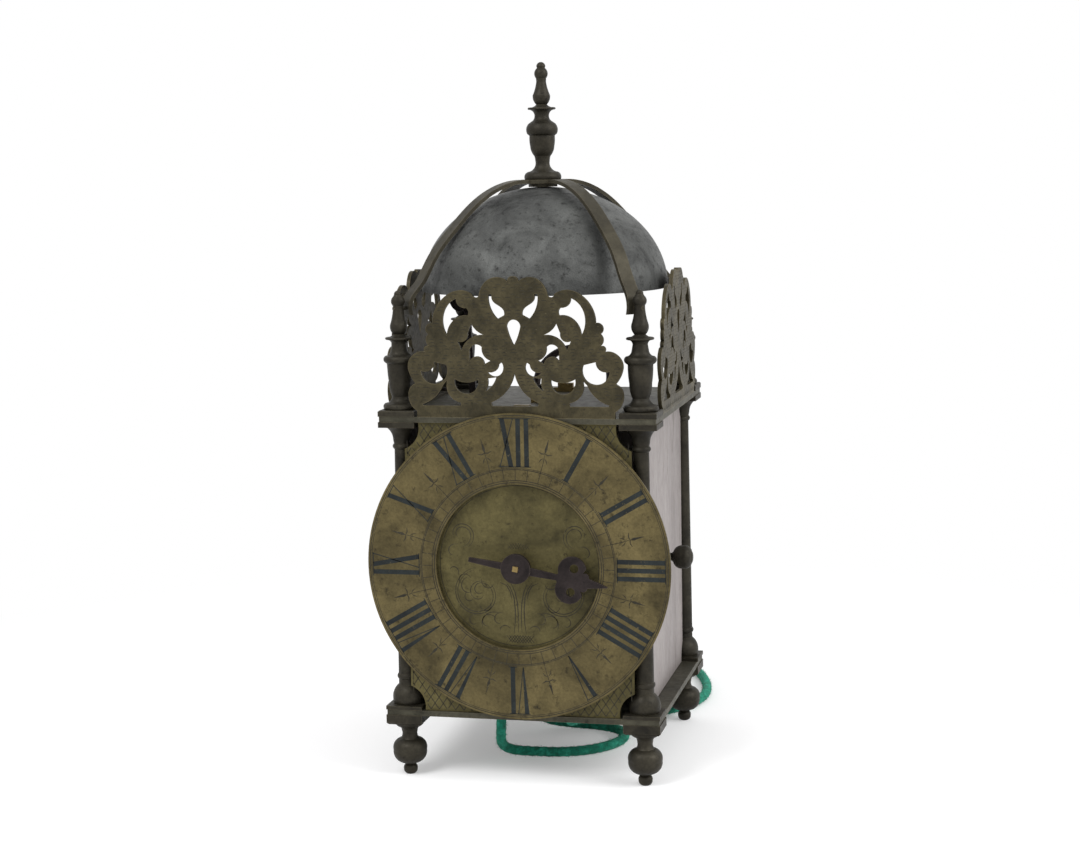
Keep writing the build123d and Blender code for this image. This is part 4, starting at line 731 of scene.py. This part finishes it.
def draw_numeral(strips, turn, text):
    """Roman numeral with its foot towards the middle, turned clockwise in degrees."""
    total = sum(LETTER_WIDTH[letter] for letter in text)
    at = -total / 2
    for letter in text:
        width = LETTER_WIDTH[letter]
        left, middle, right = at + LETTER_ROOM, at + width / 2, at + width - LETTER_ROOM
        if letter == "I":
            strips.add(spoke(turn, [(middle, NUMERAL_FOOT), (middle, NUMERAL_HEAD)]), BROAD)
        elif letter == "V":
            strips.add(spoke(turn, [(middle, NUMERAL_FOOT), (left + BROAD, NUMERAL_HEAD)]),
                       [V_FOOT, BROAD])
            strips.add(spoke(turn, [(middle, NUMERAL_FOOT), (right, NUMERAL_HEAD)]), HAIR)
        else:
            strips.add(spoke(turn, [(right - BROAD, NUMERAL_FOOT), (left + BROAD, NUMERAL_HEAD)]),
                       BROAD)
            strips.add(spoke(turn, [(left, NUMERAL_FOOT), (right, NUMERAL_HEAD)]), HAIR)
        at += width
    foot_start = -total / 2 if text[0] != "V" else -total / 2 + LETTER_WIDTH["V"]
    foot_end = total / 2 if text[-1] != "V" else total / 2 - LETTER_WIDTH["V"]
    if foot_end > foot_start:
        strips.add(spoke(turn, [(foot_start, NUMERAL_FOOT), (foot_end, NUMERAL_FOOT)]), HAIR)
    strips.add(spoke(turn, [(-total / 2, NUMERAL_HEAD), (total / 2, NUMERAL_HEAD)]), HAIR)


def spiral(middle, start, end, first, last, count=40):
    """Points from one radius and angle (degrees, anticlockwise from the right) to another."""
    line = []
    for number in range(count + 1):
        share = number / count
        radius, turn = start + (end - start) * share, radians(first + (last - first) * share)
        line.append((middle[0] + radius * cos(turn), middle[1] + radius * sin(turn)))
    return line


def swelling(line, half):
    """Half widths that swell in the middle of a cut and thin out at its ends."""
    return [half * (0.3 + 0.7 * sin(pi * n / (len(line) - 1))) for n in range(len(line))]


def mirrored(line):
    return [(-across, up) for across, up in line]


def on_dial(front):
    return lambda across, up, out: (across, front - out, DIAL_HEIGHT + up)


# Ring: border lines, quarter-hour track, half-hour marks and numerals.
numerals = Strips(on_dial(RING_FRONT))
for hour, text in enumerate(NUMERALS, 1):
    draw_numeral(numerals, 30 * hour, text)
ring_cuts = Strips(on_dial(RING_FRONT))
TRACK_INNER, TRACK_OUTER = 46.7, 52.6
LINE, THIN_LINE, TICK = 0.2, 0.13, 0.15
RING_LINES = [(81.3, LINE), (80.4, THIN_LINE), (53.3, THIN_LINE), (TRACK_OUTER, LINE),
              (TRACK_INNER, LINE), (45.6, LINE)]
QUARTERS = 48
# Each cut of a half-hour mark: (across, out) points, then half widths.
HALF_HOUR_CUTS = [
    ([(0, TRACK_OUTER), (0.2, 58.0), (0, 62.6)], TICK),
    ([(-3.9, 63.5), (-1.8, 62.8), (0, 63.2), (1.8, 62.8), (3.9, 63.5)],
     [0.1, 0.3, 0.2, 0.3, 0.1]),
    ([(0, 63.0), (0, 65.4), (0, 67.0), (0, 71.0)], [0.1, 0.75, 0.5, 0.08]),
    ([(-0.4, 60.6), (-1.5, 59.6), (-2.2, 58.0)], [0.1, 0.25, 0.08]),
    ([(0.4, 60.6), (1.5, 59.6), (2.2, 58.0)], [0.1, 0.25, 0.08]),
]
for radius, half in RING_LINES:
    ring_cuts.add(ring_line(radius), half)
for quarter in range(QUARTERS):
    ring_cuts.add(spoke(360 / QUARTERS * quarter, [(0, TRACK_INNER), (0, TRACK_OUTER)]), TICK)
for half_hour in range(12):
    for line, widths in HALF_HOUR_CUTS:
        ring_cuts.add(spoke(30 * half_hour + 15, line), widths)

# Middle: leafy scrolls each side of a stem in a hatched basket, with a hatched crest on top.
disc_cuts = Strips(on_dial(DISC_FRONT))
DISC_LINE = 43.4
LEAF_CUT, STEM_CUT, BASKET_CUT, CREST_CUT = 0.22, 0.28, 0.16, 0.1
BASKET_FOOT, BASKET_RIM = -41.8, -37.6
BASKET_STEP, BASKET_LEAN, BASKET_ROUND = 1.5, 1.6, 0.1
CREST_FOOT, CREST_TOP = 9.2, 12.8
CREST_STEP, CREST_FALL = 1.4, 0.25
disc_cuts.add(ring_line(DISC_LINE), TICK)
LEAFY = [
    spiral((-22.5, -15.5), 14.2, 8.6, 95, 400), spiral((-22.5, -15.5), 13.0, 6.8, 100, 420),
    spiral((-22.0, -15.0), 6.8, 2.4, 60, 330), spiral((-21.6, -13.6), 4.6, 1.4, 40, 300),
    spiral((-27.5, -12.0), 5.4, 2.6, 100, 290), spiral((-27.0, -17.5), 3.6, 1.4, 120, 330),
    spiral((-30.5, -8.5), 4.2, 2.0, 20, 220), spiral((-18.0, -21.5), 4.0, 1.8, 180, 400),
    spiral((-16.0, -9.0), 5.0, 2.0, 160, 330), spiral((-15.5, -33.0), 8.4, 5.0, 60, 190),
    spiral((-17.5, -31.0), 5.0, 2.0, 30, 260), spiral((-11.0, -29.5), 4.2, 1.6, 70, 280),
    spiral((-9.0, -35.5), 4.0, 1.8, 20, 170), spiral((-31.5, 16.5), 7.8, 4.2, -60, 190),
    spiral((-31.5, 16.5), 6.6, 2.0, -80, 220), spiral((-35.5, 7.0), 4.6, 2.0, 60, 240),
    spiral((-36.5, -3.5), 3.6, 1.6, -40, 150), spiral((-25.0, -30.5), 3.6, 1.4, 80, 300),
]
for line in LEAFY:
    disc_cuts.add(line, swelling(line, LEAF_CUT))
    disc_cuts.add(mirrored(line), swelling(line, LEAF_CUT))
STEM = [
    [(7.5, -8.5), (4.8, -12.0), (3.0, -17.0), (2.4, -24.0), (2.6, -31.0), (3.4, -37.0)],
    [(4.4, -9.5), (2.4, -14.0), (1.2, -20.0), (0.8, -27.0), (1.0, -36.0)],
    [(10.5, -9.0), (7.0, -10.5), (5.0, -14.0), (4.2, -18.0)],
]
for line in STEM:
    disc_cuts.add(line, swelling(line, STEM_CUT))
    disc_cuts.add(mirrored(line), swelling(line, STEM_CUT))
for number in range(-4, 5):
    across = BASKET_STEP * number
    for lean in (-BASKET_LEAN, BASKET_LEAN):
        disc_cuts.add([(across - lean, BASKET_FOOT + abs(number) * BASKET_ROUND),
                       (across + lean, BASKET_RIM)], BASKET_CUT)
for number in range(-4, 4):
    across = CREST_STEP * number + CREST_STEP / 2
    for lean in (-1, 1):
        disc_cuts.add([(across - lean, CREST_FOOT),
                       (across + lean, CREST_TOP - abs(across) * CREST_FALL)], CREST_CUT)

# Dial plate's corners: diamond hatching where the ring leaves them bare.
PLATE_EDGE = 60.4
PLATE_TOP, PLATE_FOOT = 75.8, -80.2
POST_AT = 65.5
DOMES = (-78.9, 73.6)
POST_REACH, RING_REACH = 13.0, 80.5
HATCH_STEP = 4.6
HATCH_SLOPE = 1.45
HATCH_CUT = 0.22
HATCH_NUMBERS = range(-42, 43)
HATCH_HEIGHTS = [number / 2 for number in range(-162, 154)]
EDGE_AT = PLATE_EDGE - 0.3
EDGE_LINES = [(58.5, PLATE_TOP - 9), (-58.5, PLATE_FOOT + 9)]


def bare_corner(across, up):
    """True where the plate shows past the ring and the posts' domes."""
    if abs(across) > PLATE_EDGE or not PLATE_FOOT < up < PLATE_TOP:
        return False
    if hypot(across, up) < RING_REACH:
        return False
    return all(hypot(abs(across) - POST_AT, up - dome) > POST_REACH for dome in DOMES)


def runs_of(points, wanted):
    """Stretches of points that are all wanted."""
    run = []
    for point in points:
        if wanted(*point):
            run.append(point)
        else:
            if len(run) > 2:
                yield run
            run = []
    if len(run) > 2:
        yield run


corner_cuts = Strips(on_dial(DISC_FRONT))
for lean in (-1, 1):
    for number in HATCH_NUMBERS:
        start = HATCH_STEP * number
        points = [(start + lean * up / HATCH_SLOPE, up) for up in HATCH_HEIGHTS]
        for run in runs_of(points, bare_corner):
            corner_cuts.add([run[0], run[-1]], HATCH_CUT)
for edge in (-EDGE_AT, EDGE_AT):
    for start, end in EDGE_LINES:
        corner_cuts.add([(edge, start), (edge, end)], TICK)

# Frets: ribs cut across their stems and leaves, wherever the front sheet has metal.
FRET_TOP = 74.4
FRET_HALF = 58.0
FIRST_RIB, RIB_STEP = 7.5, 1.7
SAMPLE = 0.4
SHORTEST_RUN = 2.4
RIB_SPACING = 5.0
RIB_HALF, RIB_ARCH = (0.24, 0.38), (0.2, 0.7)
RIB_CHANCE = 0.8
RIB_ROOM = 0.4
RIB_CUT = 0.2
RAIL_START, RAIL_STEP, RAIL_MARKS = -52.0, 1.3, 80


def fret_ribs():
    """Short arched cuts, (across, up from the roof), inside the pierced sheet's metal."""
    mesh = nodes["front_fret"].data
    tree = BVHTree.FromPolygons([vertex.co for vertex in mesh.vertices],
                                [tuple(face.vertices) for face in mesh.polygons])

    def metal_at(across, up):
        hit = tree.ray_cast(Vector((across, -FRET_FRONT - 1, ROOF + up)) * MM, Vector((0, 1, 0)),
                            1.5 * MM)
        return hit[0] is not None

    draw = random.Random(7)
    ribs = []
    up = FIRST_RIB
    while up < FRET_TOP:
        row = [(-FRET_HALF + SAMPLE * n, up) for n in range(int(2 * FRET_HALF / SAMPLE))]
        for run in runs_of(row, metal_at):
            length = run[-1][0] - run[0][0]
            if length < SHORTEST_RUN:
                continue
            pieces = max(1, round(length / RIB_SPACING))
            for number in range(pieces):
                middle = run[0][0] + length * (number + 0.5) / pieces
                half = length / pieces * draw.uniform(*RIB_HALF)
                arch = draw.uniform(*RIB_ARCH)
                line = [(middle + half * share, up - arch * share * share)
                        for share in (-1, -0.5, 0, 0.5, 1)]
                if draw.random() < RIB_CHANCE and all(
                        metal_at(x, z - RIB_ROOM) and metal_at(x, z + RIB_ROOM)
                        for x, z in line):
                    ribs.append(line)
        up += RIB_STEP
    for number in range(RAIL_MARKS):
        if number % 5:
            across = RAIL_START + RAIL_STEP * number
            ribs.append([(across, 1.6), (across + 0.5, 2.6 + (number % 3) * 0.5)])
    return ribs


ribs = fret_ribs()
fret_planes = {
    "front_fret": lambda across, up, out: (across, -FRET_FRONT - out, ROOF + up),
    "right_fret": lambda across, up, out: (FRET_FRONT + out, across, ROOF + up),
    "left_fret": lambda across, up, out: (-FRET_FRONT - out, -across, ROOF + up),
}
numerals.made("dial_numerals", numeral_wax)
# The engraved cuts below are dark strips coloured with the painted groove shade.
ring_cuts.made("ring_engraving", painted_groove_shade)
disc_cuts.made("disc_engraving", painted_groove_shade, slot="dial_plate_brass")
corner_cuts.made("corner_hatching", painted_groove_shade, slot="dial_plate_brass")
for name, to_world in fret_planes.items():
    fret_cuts = Strips(to_world)
    for line in ribs:
        fret_cuts.add(line, swelling(line, RIB_CUT))
    fret_cuts.made(f"{name}_engraving", painted_groove_shade, slot="fret_brass")


# ---- stage ----
FLOOR_HALF = 6.0
FLOOR_WHITE = (0.80, 0.80, 0.805, 1)
SEEN_GLOW = 0.24
FADE_START, FADE_END = 0.22, 0.55


def make_floor():
    """White floor that takes the clock's shadow and fades to pure white away from it."""
    mesh = bpy.data.meshes.new("floor")
    corners = [(-FLOOR_HALF, -FLOOR_HALF, 0), (FLOOR_HALF, -FLOOR_HALF, 0),
               (FLOOR_HALF, FLOOR_HALF, 0), (-FLOOR_HALF, FLOOR_HALF, 0)]
    mesh.from_pydata(corners, [], [(0, 1, 2, 3)])
    material, tree, shader = blank("floor_white")
    seen = seen_rays(tree)
    shader.inputs["Base Color"].default_value = FLOOR_WHITE
    shader.inputs["Roughness"].default_value = 0.9
    shader.inputs["Specular IOR Level"].default_value = 0.1
    shader.inputs["Emission Color"].default_value = (1, 1, 1, 1)
    tree.links.new(calc(tree, "MULTIPLY", seen, SEEN_GLOW), shader.inputs["Emission Strength"])
    where = put(tree, "ShaderNodeTexCoord")
    reach = put(tree, "ShaderNodeVectorMath", operation="LENGTH")
    tree.links.new(where.outputs["Object"], reach.inputs[0])
    far = put(tree, "ShaderNodeMapRange", interpolation_type="SMOOTHSTEP")
    tree.links.new(reach.outputs["Value"], far.inputs["Value"])
    far.inputs["From Min"].default_value = FADE_START
    far.inputs["From Max"].default_value = FADE_END
    white = put(tree, "ShaderNodeEmission", color=(1, 1, 1, 1), strength=1.0)
    mixed = put(tree, "ShaderNodeMixShader")
    tree.links.new(calc(tree, "MULTIPLY", far.outputs["Result"], seen), mixed.inputs[0])
    tree.links.new(shader.outputs["BSDF"], mixed.inputs[1])
    tree.links.new(white.outputs["Emission"], mixed.inputs[2])
    output = next(node for node in tree.nodes if node.type == "OUTPUT_MATERIAL")
    tree.links.new(mixed.outputs["Shader"], output.inputs["Surface"])
    floor = link("floor", mesh, material)
    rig.stage(floor)


def make_lamp(name, at, size, power, aim=(0, 0, 0.18)):
    data = bpy.data.lights.new(name, "AREA")
    data.shape = "DISK"
    data.size = size
    data.energy = power
    lamp = bpy.data.objects.new(name, data)
    lamp.location = at
    lamp.rotation_euler = (Vector(aim) - Vector(at)).to_track_quat("-Z", "Y").to_euler()
    bpy.context.scene.collection.objects.link(lamp)


def make_world(light, shown):
    """Even surroundings: one strength for light and another for what the camera sees."""
    world = bpy.data.worlds.new("studio")
    bpy.context.scene.world = world
    world.use_nodes = True
    tree = world.node_tree
    tree.nodes.clear()
    seen = seen_rays(tree)
    strength = calc(tree, "ADD", calc(tree, "MULTIPLY", seen, shown - light), light)
    surround = put(tree, "ShaderNodeBackground", color=(1, 1, 1, 1), strength=strength)
    output = put(tree, "ShaderNodeOutputWorld")
    tree.links.new(surround.outputs["Background"], output.inputs["Surface"])


make_floor()
make_world(0.75, 1.0)
make_lamp("key", (-0.7, -1.3, 1.7), 1.0, 22)
make_lamp("fill", (1.5, -0.3, 1.1), 1.2, 20)
bpy.context.scene.view_settings.view_transform = "Standard"

with open("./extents.json", "w") as sizes:
    json.dump({"cad": [list(corner) for corner in cad_box],
               "visual": [list(corner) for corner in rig.bounds()]}, sizes)
